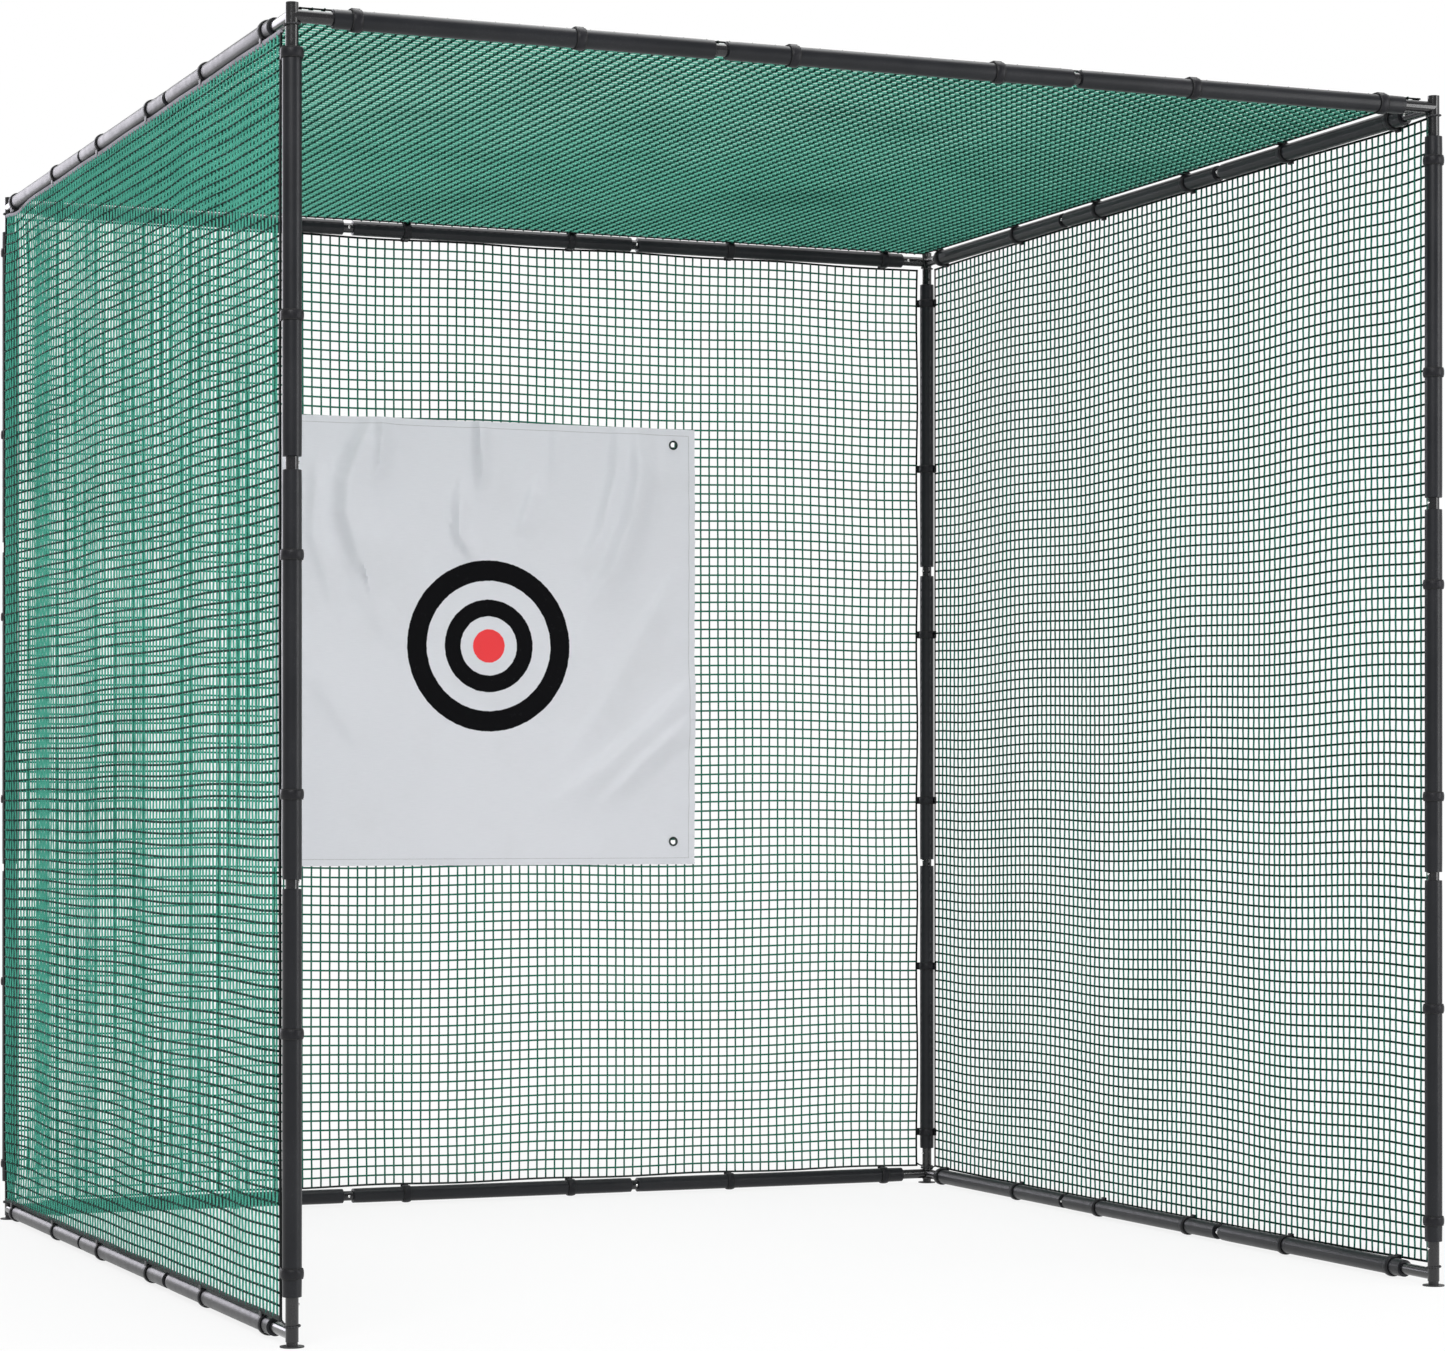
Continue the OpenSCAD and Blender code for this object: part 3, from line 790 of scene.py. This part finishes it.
def foam_sleeve(member, part, begin, end, material):
    """One sleeve with rounded ends, a closed seam and a slight waist under each strap."""
    steps = max(12, round((end - begin) / 0.035))
    places = [begin + (end - begin) * k / steps for k in range(steps + 1)]
    inside = [p for p in member.strap_places() if begin < p < end]
    for strap in inside:
        places += [strap - 0.016, strap - 0.0105, strap, strap + 0.0105, strap + 0.016]
    places = sorted(p for p in places if begin + 0.002 < p < end - 0.002)
    profile = [(FOAM_BORE_R, begin), (FOAM_R - 0.0016, begin), (FOAM_R - 0.0004, begin + 0.0007)]
    for place in places:
        squeeze = max([math.exp(-(((place - s) / 0.011) ** 4)) for s in inside] + [0.0])
        profile.append((FOAM_R - 0.0006 * squeeze, place))
    profile += [(FOAM_R - 0.0004, end - 0.0007), (FOAM_R - 0.0016, end), (FOAM_BORE_R, end)]
    segments = 40
    axis = member.frame_at(0)
    rings = []
    for radius, place in profile:
        ring = []
        for k in range(segments):
            seam = 0.0012 if k == 0 and radius > FOAM_BORE_R + 0.002 else 0.0
            ring.append(axis @ round_z(radius - seam, 2 * math.pi * k / segments, place))
        rings.append(ring)
    piece = skin(f"{member.name}_{part}_foam", rings, True, material)
    smooth(piece, 35)
    return piece


def add_foam(members, material):
    stands_for = {"post": "post_foam_sleeves", "top": "top_rail_foam_sleeves",
                  "bottom": "bottom_rail_foam_sleeves"}
    for member in members:
        for part, begin, end in member.foam_runs():
            sleeve = foam_sleeve(member, part, begin, end, material)
            settle(sleeve, "foam", stands_for[member.name.split("_")[0]])


# ---- Straps


def strap_collar(webbing, binding):
    """The crowned collar of a strap with its two bound edges, round the Z axis at the origin."""
    half = STRAP_W / 2
    inner = FOAM_R + 0.0002
    upper = [
        (STRAP_R, 0.0030), (STRAP_R - 0.0005, half - 0.0040), (STRAP_R - 0.0016, half - 0.0014),
        (inner + 0.0012, half), (inner, half - 0.001),
    ]
    profile = [(radius, -z) for radius, z in reversed(upper)] + upper
    segments = 36
    turns = [2 * math.pi * k / segments for k in range(segments)]
    rings = [[round_z(r, angle, z) for r, z in profile] for angle in turns]
    pieces = [skin("collar", rings, True, webbing)]
    for level in (-half + 0.0006, half - 0.0006):
        path = [round_z(BINDING_R, angle, level) for angle in turns]
        pieces.append(swept("edge", path, circle_section(0.0012, 6), Z_AXIS, binding, closed=True))
    return join("collar", pieces)


def strap_tab(webbing, net_out):
    """The two plies of a strap's end, which clamp the hem: along X, on both sides of Y = 0."""
    corners = band_section(STRAP_W / 2, 0.0008, 0.0008, 0.0003)
    section = corners[1:] + corners[:1]
    plies = []
    for side in (-1, 1):
        off = side * TAB_GAP
        lever = RING_MID ** 2 - (net_out + off) ** 2
        root = math.sqrt(lever) if lever > 0 else 0.0
        path = [
            Vector((root, off, 0)), Vector(((root + TAB_KNEE) / 2, off * 1.05, 0)),
            Vector((TAB_KNEE, off, 0)), Vector((0.0275, off * 0.95, 0)), Vector((TAB_REACH, off * 0.8, 0)),
        ]
        plies.append(swept("ply", path, section, Y_AXIS, webbing))
    return join("tab", plies)


def copy_at(source, matrix):
    piece = source.copy()
    piece.data = source.data.copy()
    piece.data.transform(matrix)
    bpy.context.scene.collection.objects.link(piece)
    return piece


def add_straps(members, webbing, binding):
    collar = strap_collar(webbing, binding)
    tabs = {out: strap_tab(webbing, out) for out in (NET_OUT, ROOF_OUT)}
    for member in members:
        parts = []
        for place in member.strap_places():
            parts.append(copy_at(collar, member.frame_at(place)))
            for leave, side in member.nets:
                third = leave.cross(side)
                turn = Matrix((leave, side, third)).transposed().to_4x4()
                out = ROOF_OUT if side == Z_AXIS else NET_OUT
                spot = Matrix.Translation(member.at(place) + side * out)
                parts.append(copy_at(tabs[out], spot @ turn))
        straps = join(f"{member.name}_straps", parts)
        fix_normals(straps)
        smooth(straps, 40)
        settle(straps, "strap_webbing", "net_straps")
    bpy.data.objects.remove(collar)
    for tab in tabs.values():
        bpy.data.objects.remove(tab)


# ---- Nets


def ease(value):
    """0 to 1 with level ends."""
    clipped = np.clip(value, 0, 1)
    return clipped * clipped * (3 - 2 * clipped)


class Panel:
    """A net panel: its middle, its two directions, the way that is outside, and its slack."""

    width = NET_W
    hems = (0.006, 0.006, 0.006, 0.006)
    bows = (0.0, 0.0, 0.0, 0.0)
    fold_depth = 0.0
    sway = 0.0
    scallop = 0.0
    rear_bulge = 0.0
    rear_dip = 0.0
    rear_drop = 0.0
    front_lift = 0.0

    def __init__(self, name, middle, axes, height, seed, cord_r, **slack):
        self.name = name
        self.middle = np.array(middle, float)
        self.axes = np.array([tuple(axis) for axis in axes], float)
        self.height = height
        self.seed = seed
        self.cord_r = cord_r
        for label, value in slack.items():
            setattr(self, label, value)

    def spans(self):
        """How far the cords run across and up: to the middle of each hem."""
        low, right, high, left = (width / 2 for width in self.hems)
        across = (left - self.width / 2, self.width / 2 - right)
        return across, (low - self.height / 2, self.height / 2 - high)

    def in_place(self, flat):
        """Flat points (across, up, out of the plane) after the net's own slack, in the frame."""
        u, v, w = flat[:, 0], flat[:, 1], flat[:, 2]
        shift = self.slack(u, v)
        moved = np.stack([u + shift[0], v + shift[1], w + shift[2]], axis=1)
        return self.middle + moved @ self.axes

    def slack(self, u, v):
        """Scallops between the straps, bowed hems, and slow folds that leave the plane."""
        half_w, half_h = self.width / 2, self.height / 2
        a, b, c = self.seed
        swing = 2 * math.pi / 0.54
        gaps = (half_w + u, half_w - u, half_h + v, half_h - v)
        near_left, near_right, near_low, near_high = (np.exp(-gap / 0.30) for gap in gaps)
        along_v = 1 - np.abs(v / half_h) ** 4
        along_u = 1 - np.abs(u / half_w) ** 4
        left, right, low, high = self.bows
        du = (left * near_left - right * near_right) * along_v
        dv = (low * near_low - high * near_high) * along_u
        du += self.scallop * (near_left - near_right) * (1 - np.cos(swing * v + a)) / 2
        dv += self.scallop * (near_low - near_high) * (1 - np.cos(swing * u + b)) / 2
        inside_u = ease((half_w - np.abs(u)) / 0.22)
        inside_v = ease((half_h - np.abs(v)) / 0.22)
        inside = inside_u * inside_v
        lean = 0.9 * np.sin(1.9 * v + a) + 0.5 * np.sin(3.3 * v + c)
        du += 0.5 * self.sway * inside * np.sin(2.1 * v + 1.7 * np.sin(3.1 * u + a) + c)
        dv += self.sway * inside * np.sin(0.55 * swing * u + lean + b)
        dv -= self.rear_dip * near_high * np.exp(-(((u - half_w + 0.16) / 0.10) ** 2))
        dv += self.front_lift * near_high * np.exp(-(((u + half_w) / 0.14) ** 2))
        fold = np.sin(swing * u + 0.6 * lean + c) + 0.4 * np.sin(1.9 * swing * u - lean + a)
        dw = self.fold_depth * inside * fold
        bulge = np.exp(-(((u - half_w + 0.05) / 0.13) ** 2))
        hollow = np.exp(-(((u - half_w + 0.34) / 0.12) ** 2))
        dw += self.rear_bulge * inside_v * (bulge - 1.2 * hollow) - self.rear_drop * near_high
        return du, dv, dw


def make_panels():
    """Hems and bows are given in order: bottom, right, top, left; and left, right, low, high."""
    middle_z = (TOP_Z + RAIL_OFFSET) / 2
    out = HALF + NET_OUT
    panels = [
        Panel(
            "back_net", (0, out, middle_z), (X_AXIS, Z_AXIS, Y_AXIS), NET_H, (0.4, 1.1, 2.3),
            (0.0028, 0.0028), sway=0.004, scallop=0.004, bows=(0.0, 0.0, 0.0, -0.004),
        ),
        Panel(
            "left_net", (-out, 0, middle_z), (Y_AXIS, Z_AXIS, -X_AXIS), NET_H, (1.9, 0.3, 4.1),
            (0.0030, 0.0025), fold_depth=0.002, sway=0.003, scallop=0.002, rear_dip=0.012,
            rear_bulge=0.006, bows=(0.007, 0.0, 0.0, 0.0), hems=(0.012, 0.010, 0.010, 0.015),
        ),
        Panel(
            "right_net", (out, 0, middle_z), (Y_AXIS, Z_AXIS, X_AXIS), NET_H, (3.2, 2.6, 0.8),
            (0.0028, 0.0029), fold_depth=0.002, sway=0.0055, front_lift=0.009,
            bows=(0.0, 0.0, -0.006, -0.0055),
        ),
        Panel(
            "roof_net", (0, 0, TOP_Z + ROOF_OUT), (X_AXIS, Y_AXIS, Z_AXIS), NET_W, (2.2, 4.4, 1.5),
            (0.0026, 0.0044), fold_depth=0.0005, sway=0.0012, rear_drop=0.002,
            bows=(0.0, -0.007, 0.0, -0.002), hems=(0.006, 0.012, 0.006, 0.006),
        ),
    ]
    return {panel.name: panel for panel in panels}


def strand_row(name, run, across, radius, upright, material):
    """One four-sided strand with a ring at each crossing, repeated side by side by an array."""
    length = run[1] - run[0]
    deselect_all()
    bpy.ops.mesh.primitive_cylinder_add(
        vertices=4, radius=radius, depth=length, end_fill_type="NGON", location=(0, 0, 0)
    )
    row = bpy.context.object
    row.name = name
    row.data.name = name
    bpy.ops.object.mode_set(mode="EDIT")
    shape = bmesh.from_edit_mesh(row.data)
    for edge in shape.edges:
        ends = [corner.co.z for corner in edge.verts]
        edge.select_set(abs(ends[0] - ends[1]) > length / 2)
    bmesh.update_edit_mesh(row.data)
    bpy.ops.mesh.subdivide(number_cuts=NET_CELLS - 1)
    bpy.ops.object.mode_set(mode="OBJECT")
    angle, axis = (-90, "X") if upright else (90, "Y")
    turn = Matrix.Rotation(math.radians(angle), 4, axis)
    row.data.transform(turn)
    middle = (run[0] + run[1]) / 2
    pitch = (across[1] - across[0]) / NET_CELLS
    start = across[0] + pitch
    place = (start, middle, 0) if upright else (middle, start, 0)
    row.data.transform(Matrix.Translation(place))
    step = (pitch, 0, 0) if upright else (0, pitch, 0)
    apply_modifier(
        row, "ARRAY", count=NET_CELLS - 1, use_relative_offset=False, use_constant_offset=True,
        constant_offset_displace=step,
    )
    row.data.materials.append(material)
    return row


def hang_strands(row, panel, upright):
    """Weaves the strands over and under each other and gives them the panel's slack."""
    flat = read_corners(row)
    across, up = panel.spans()
    column = np.rint((flat[:, 0] - across[0]) * NET_CELLS / (across[1] - across[0]))
    line = np.rint((flat[:, 1] - up[0]) * NET_CELLS / (up[1] - up[0]))
    over = np.where((column + line) % 2 == 0, 1.0, -1.0)
    flat[:, 2] += over * WEAVE_LIFT * (1 if upright else -0.3)
    write_corners(row, panel.in_place(flat))


def scale_uv_length(row, length):
    """Turns the UV so that U runs along the strand in metres and V once around it."""
    layer = row.data.uv_layers.active
    values = np.zeros(len(layer.data) * 2, np.float32)
    layer.data.foreach_get("uv", values)
    values = values.reshape(-1, 2)
    turned = np.stack([(2 * values[:, 1] - 1) * length, values[:, 0]], axis=1)
    layer.data.foreach_set("uv", turned.astype(np.float32).ravel())


def net_piece(panel, crosswise, upright):
    """The panel's two rows of strands, joined as one net."""
    rows = []
    across, up = panel.spans()
    for standing, material, radius in zip((False, True), (crosswise, upright), panel.cord_r):
        run, side_by_side = (up, across) if standing else (across, up)
        row = strand_row("row", run, side_by_side, radius, standing, material)
        scale_uv_length(row, run[1] - run[0])
        hang_strands(row, panel, standing)
        rows.append(row)
    net = join(f"{panel.name}_mesh", rows)
    fix_normals(net)
    pick(net)
    bpy.ops.object.shade_smooth()
    deselect_all()
    return net


def hem_piece(panel, materials):
    """The four hem tapes of a panel: bottom, right, top and left."""
    half_w, half_h = panel.width / 2, panel.height / 2
    corners = [(-half_w, -half_h), (half_w, -half_h), (half_w, half_h), (-half_w, half_h)]
    steps = 110
    tapes = []
    for k, width in enumerate(panel.hems):
        half = width / 2
        section = band_section(half, 0.0012, 0.0018, 0.0008)
        start, end = np.array(corners[k]), np.array(corners[(k + 1) % 4])
        along = (end - start) / np.linalg.norm(end - start)
        inward = np.array([-along[1], along[0]])
        start = start + inward * half
        end = end + inward * half
        flat = [(*(start + (end - start) * i / steps), 0.0) for i in range(steps + 1)]
        path = [Vector(p) for p in panel.in_place(np.array(flat))]
        outward = Vector(panel.axes[2])
        tapes.append(swept("tape", path, section, outward, materials[k]))
    hem = join(f"{panel.name}_hem", tapes)
    smooth(hem, 40)
    return hem


# Cords across and upright; hems at the bottom, right, top and left. The tones are lit and shaded copies of
# one net cord and one hem tape: painted light and shade, set by panel and by the way a cord runs.
NET_TONES = {
    "back_net": (("back", "back"), ("slate", "black", "black", "black")),
    "left_net": (("night", "green"), ("slate", "black", "grey", "black")),
    "right_net": (("dark", "deep"), ("black", "black", "black", "slate")),
    "roof_net": (("mint", "knot"), ("black", "black", "black", "black")),
}


def add_nets(panels, cords, hems):
    for name, panel in panels.items():
        cord_tones, hem_tones = NET_TONES[name]
        net = net_piece(panel, *[cords[tone] for tone in cord_tones])
        settle(net, "netting", name)
        hem = hem_piece(panel, [hems[tone] for tone in hem_tones])
        settle(hem, "netting", name)


# ---- Corner ties


def tie_piece(name, centre, aim, target, material):
    """Cord wound once round an upright and drawn to a net corner."""
    start = math.atan2(aim[1], aim[0])
    turns = 22
    path = []
    for k in range(turns + 1):
        lift = TIE_R * math.sin(math.pi * (k / turns - 0.5))
        path.append(centre + round_z(TUBE_R + TIE_GAP, start + 2 * math.pi * k / turns, lift))
    knot = path[-1]
    for k in range(1, 7):
        sag = 0.0015 * math.sin(math.pi * k / 6)
        path.append(knot.lerp(Vector(target), k / 6) - Z_AXIS * sag)
    tie = swept(name, path, circle_section(TIE_R, 8), Z_AXIS, material)
    smooth(tie, 60)
    settle(tie, "tie_cord", "corner_ties")


def add_ties(material):
    top_z = TOP_Z - TUBE_R - 0.005
    low_z = RAIL_OFFSET + TUBE_R + 0.0025 + 0.0005
    inset = HALF - NET_INSET
    out = HALF + NET_OUT
    for sx, x_name in ((-1, "left"), (1, "right")):
        for sy, y_name in ((-1, "front"), (1, "rear")):
            corner = f"{y_name}_{x_name}"
            post = Vector((sx * HALF, sy * HALF, 0))
            hook = (sx * (inset - 0.006), sy * (inset - 0.006), TOP_Z + ROOF_OUT)
            tie_piece(f"top_tie_{corner}", post + Z_AXIS * top_z, (-sx, -sy), hook, material)
            hook = (sx * out, sy * (inset - 0.005), low_z + 0.010)
            aim = (sx * NET_OUT, -sy * NET_INSET)
            tie_piece(f"side_tie_{corner}", post + Z_AXIS * low_z, aim, hook, material)
            if sy > 0:
                hook = (sx * (inset - 0.005), out, low_z + 0.016)
                aim = (-sx * NET_INSET, NET_OUT)
                tie_piece(f"back_tie_{x_name}", post + Z_AXIS * (low_z + 0.006), aim, hook, material)


# ---- Target sheet

# Creases as (points in metres from the sheet's middle, width, depth)
CREASES = [
    (
        [(-0.37, 0.70), (-0.43, 0.60), (-0.47, 0.49), (-0.475, 0.40), (-0.43, 0.26), (-0.35, 0.17)],
        0.050, 0.046,
    ),
    ([(-0.36, 0.70), (-0.372, 0.50)], 0.022, 0.024),
    ([(-0.037, 0.70), (-0.032, 0.48)], 0.018, 0.030),
    ([(-0.102, 0.48), (-0.109, 0.34), (-0.050, 0.25)], 0.018, 0.026),
    ([(0.498, 0.68), (0.492, 0.53), (0.463, 0.40), (0.411, 0.26), (0.333, 0.11)], 0.036, 0.040),
    ([(0.146, 0.50), (0.097, 0.34)], 0.022, 0.016),
    ([(0.43, 0.69), (0.418, 0.54), (0.37, 0.36), (0.30, 0.22)], 0.024, 0.022),
    ([(0.22, 0.68), (0.215, 0.50)], 0.020, 0.012),
    ([(-0.56, 0.55), (-0.575, 0.33), (-0.50, 0.10)], 0.034, 0.018),
    ([(0.60, 0.20), (0.50, 0.02), (0.36, -0.22), (0.22, -0.40)], 0.032, 0.014),
    ([(0.677, -0.12), (0.528, -0.26), (0.381, -0.38), (0.203, -0.50)], 0.034, 0.026),
    ([(0.674, -0.23), (0.495, -0.38), (0.365, -0.52)], 0.028, 0.020),
    ([(-0.43, 0.17), (-0.30, -0.02)], 0.040, 0.008),
    ([(-0.59, -0.08), (-0.40, -0.34)], 0.050, 0.010),
]


def crease_height(x, z, points, width):
    """How close each point is to a crease, from 0 to 1, steep on one side and gentle on the other."""
    best = np.zeros_like(x)
    total = len(points) - 1
    for k, (a, b) in enumerate(zip(points, points[1:])):
        a, b = np.array(a), np.array(b)
        span = b - a
        share = ((x - a[0]) * span[0] + (z - a[1]) * span[1]) / float(span @ span)
        clipped = np.clip(share, 0, 1)
        gap = np.hypot(x - a[0] - clipped * span[0], z - a[1] - clipped * span[1])
        turn = (x - a[0]) * span[1] - (z - a[1]) * span[0]
        reach = width * np.where(turn > 0, 0.65, 1.8)
        travel = (k + clipped) / total
        taper = np.minimum(1, 3.5 * np.minimum(travel + 0.12, 1.02 - travel))
        best = np.maximum(best, taper * np.exp(-((gap / reach) ** 2)))
    return best


def cloth_depth(x, z):
    """Depth of the folds in front of the back net; flat round the grommets."""
    depth = np.zeros_like(x)
    for points, width, rise in CREASES:
        depth += rise * crease_height(x, z, points, width)
    depth += 0.0016 * (1 + np.sin(7.0 * x + 2.0 * np.sin(4.0 * z)))
    edge = np.clip((x - 0.60) / 0.09, 0, 1)
    depth += 0.0022 * edge * (1 + np.sin(2 * math.pi * z / 0.105))
    gap = np.hypot(np.abs(x) - GROMMET_X, np.abs(z - GROMMET_LIFT) - GROMMET_Z)
    return depth * np.clip((gap - 0.04) / 0.09, 0, 1)


def punch_hole(sheet, place):
    """Cuts a round hole for a grommet's barrel."""
    deselect_all()
    bpy.ops.mesh.primitive_cylinder_add(
        vertices=32, radius=GROMMET_BARREL_R + 0.0003, depth=0.06, location=place,
        rotation=(math.radians(90), 0, 0),
    )
    punch = bpy.context.object
    pick(sheet)
    apply_modifier(sheet, "BOOLEAN", operation="DIFFERENCE", solver="EXACT", object=punch)
    bpy.data.objects.remove(punch)


def add_target(material):
    """The hanging sheet: a fine grid with its folds, holes for the grommets, and a thickness."""
    deselect_all()
    bpy.ops.mesh.primitive_grid_add(
        x_subdivisions=180, y_subdivisions=180, size=SHEET_SIZE, location=(0, 0, 0)
    )
    sheet = bpy.context.object
    sheet.name = "target_sheet_cloth"
    sheet.data.name = "target_sheet_cloth"
    sheet.data.transform(Matrix.Rotation(math.radians(90), 4, "X"))
    flat = read_corners(sheet)
    flat[:, 1] = SHEET_Y - cloth_depth(flat[:, 0], flat[:, 2])
    flat[:, 2] += SHEET_Z
    write_corners(sheet, flat)
    sheet.data.materials.append(material)
    apply_modifier(sheet, "SOLIDIFY", thickness=SHEET_T, offset=-1)
    for sx in (-1, 1):
        for sz in (-1, 1):
            punch_hole(sheet, Vector((sx * GROMMET_X, SHEET_Y, SHEET_Z + GROMMET_LIFT + sz * GROMMET_Z)))
    smooth(sheet, 40)
    settle(sheet, "target_cloth", "target_sheet")


# ---- Hard parts, which stay as they come


def paint_node(node, material, slot):
    node.data.materials.clear()
    node.data.materials.append(material)


def finish_hard_parts():
    tube = enamel("tube_enamel", (0.008, 0.008, 0.010), (0.013, 0.013, 0.015), 0.07)
    fitting = enamel("fitting_enamel", (0.008, 0.008, 0.009), (0.014, 0.014, 0.015), 0.12)
    # Bright plate, worn dull by the thumb
    nickel = plated_metal(
        "button_nickel", (0.86, 0.86, 0.87), (0.72, 0.70, 0.67), (180.0, 500.0), (0.10, 0.24),
        1.0, 0.00002, 0.4,
    )
    single_nodes = {
        "button_springs": (spring_steel(), "spring_steel"),
        "top_corner_fittings": (fitting, "tube_paint"),
        "foot_fittings": (fitting, "tube_paint"),
        "foot_plugs": (foot_plastic(), "foot_plastic"),
    }
    # Blackened brass, rubbed brighter on the high spots
    brass = plated_metal(
        "grommet_metal", (0.012, 0.020, 0.019), (0.050, 0.064, 0.060), (120.0, 300.0), (0.32, 0.5),
        0.85, 0.00004, 0.5,
    )
    single_nodes["target_grommets"] = (brass, "grommet_metal")
    for name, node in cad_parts.items():
        if name.endswith("_button"):
            paint_node(node, nickel, "button_metal")
        elif name in single_nodes:
            paint_node(node, *single_nodes[name])
        elif name.startswith(("post_front", "post_rear", "top_rail_", "bottom_rail_")):
            if not name.endswith("sleeves"):
                paint_node(node, tube, "tube_paint")


# ---- Stage


def add_floor():
    deselect_all()
    bpy.ops.mesh.primitive_plane_add(size=60, location=(0, 0, 0))
    floor = bpy.context.object
    floor.name = "studio_floor"
    floor.data.materials.append(floor_paint())


add_camera()
light_studio()
finish_hard_parts()

MEMBERS = make_members()
PANELS = make_panels()
add_foam(MEMBERS, foam_skin())
WEBBING = strap_webbing()
BINDING = plaited_cord(
    "strap_binding", (500.0, 1.0), (0.004, 0.004, 0.004), (0.015, 0.015, 0.016), 300.0, 2.0,
    (0.6, 0.8), 0.0003, 0.8,
)
add_straps(MEMBERS, WEBBING, BINDING)

# Painted light and shade: one net cord in lit and shaded copies. Cords that run front to back are painted
# near black as shade. The right uprights and the back net are painted darker as shade. The left uprights
# and the roof's crosswise cords keep the lit tone. Each entry is yarn, ply crowns (a painted highlight),
# roughness and, for the roof uprights, the second colour between the knots.
CORD_TONES = {
    "night": ((0.001, 0.013, 0.009), (0.003, 0.028, 0.020), 0.5),
    # Roof uprights, which run front to back: painted shade, near black at the knots and lighter between
    # them.
    "knot": ((0.0005, 0.007, 0.005), (0.0015, 0.014, 0.010), 0.5, (0.023, 0.132, 0.092)),
    "dark": ((0.001, 0.016, 0.011), (0.004, 0.034, 0.023), 0.45),
    "green": ((0.046, 0.290, 0.208), (0.098, 0.425, 0.322), 0.45),
    "deep": ((0.016, 0.125, 0.090), (0.036, 0.190, 0.140), 0.45),
    "mint": ((0.063, 0.268, 0.194), (0.135, 0.440, 0.336), 0.45),
    # Back net: painted shade, darker than the lit tone.
    "back": ((0.020, 0.130, 0.088), (0.045, 0.210, 0.145), 0.45),
}
# One black hem tape: the pale tone on the left net's top hem and the dim tone on the back and left nets'
# bottom hems and the right net's front hem are painted sheen, the tape's reflection seen at a grazing
# angle.
HEM_TONES = {
    "black": ((0.002, 0.004, 0.004), (0.005, 0.009, 0.008)),
    "grey": ((0.30, 0.285, 0.33), (0.42, 0.40, 0.45)),
    "slate": ((0.030, 0.036, 0.036), (0.055, 0.063, 0.062)),
}
CORDS = {key: net_cord(f"net_cord_{key}", *tones) for key, tones in CORD_TONES.items()}
HEMS = {key: net_hem(f"net_hem_{key}", *tones) for key, tones in HEM_TONES.items()}
add_nets(PANELS, CORDS, HEMS)
TIE_CORD = plaited_cord(
    "tie_cord", (160.0, 3.0), (0.006, 0.006, 0.007), (0.030, 0.030, 0.034), 180.0, 3.0,
    (0.5, 0.7), 0.0006, 0.9,
)
add_ties(TIE_CORD)
add_target(target_cloth())
add_floor()

scene = bpy.context.scene
scene.view_settings.view_transform = "Standard"
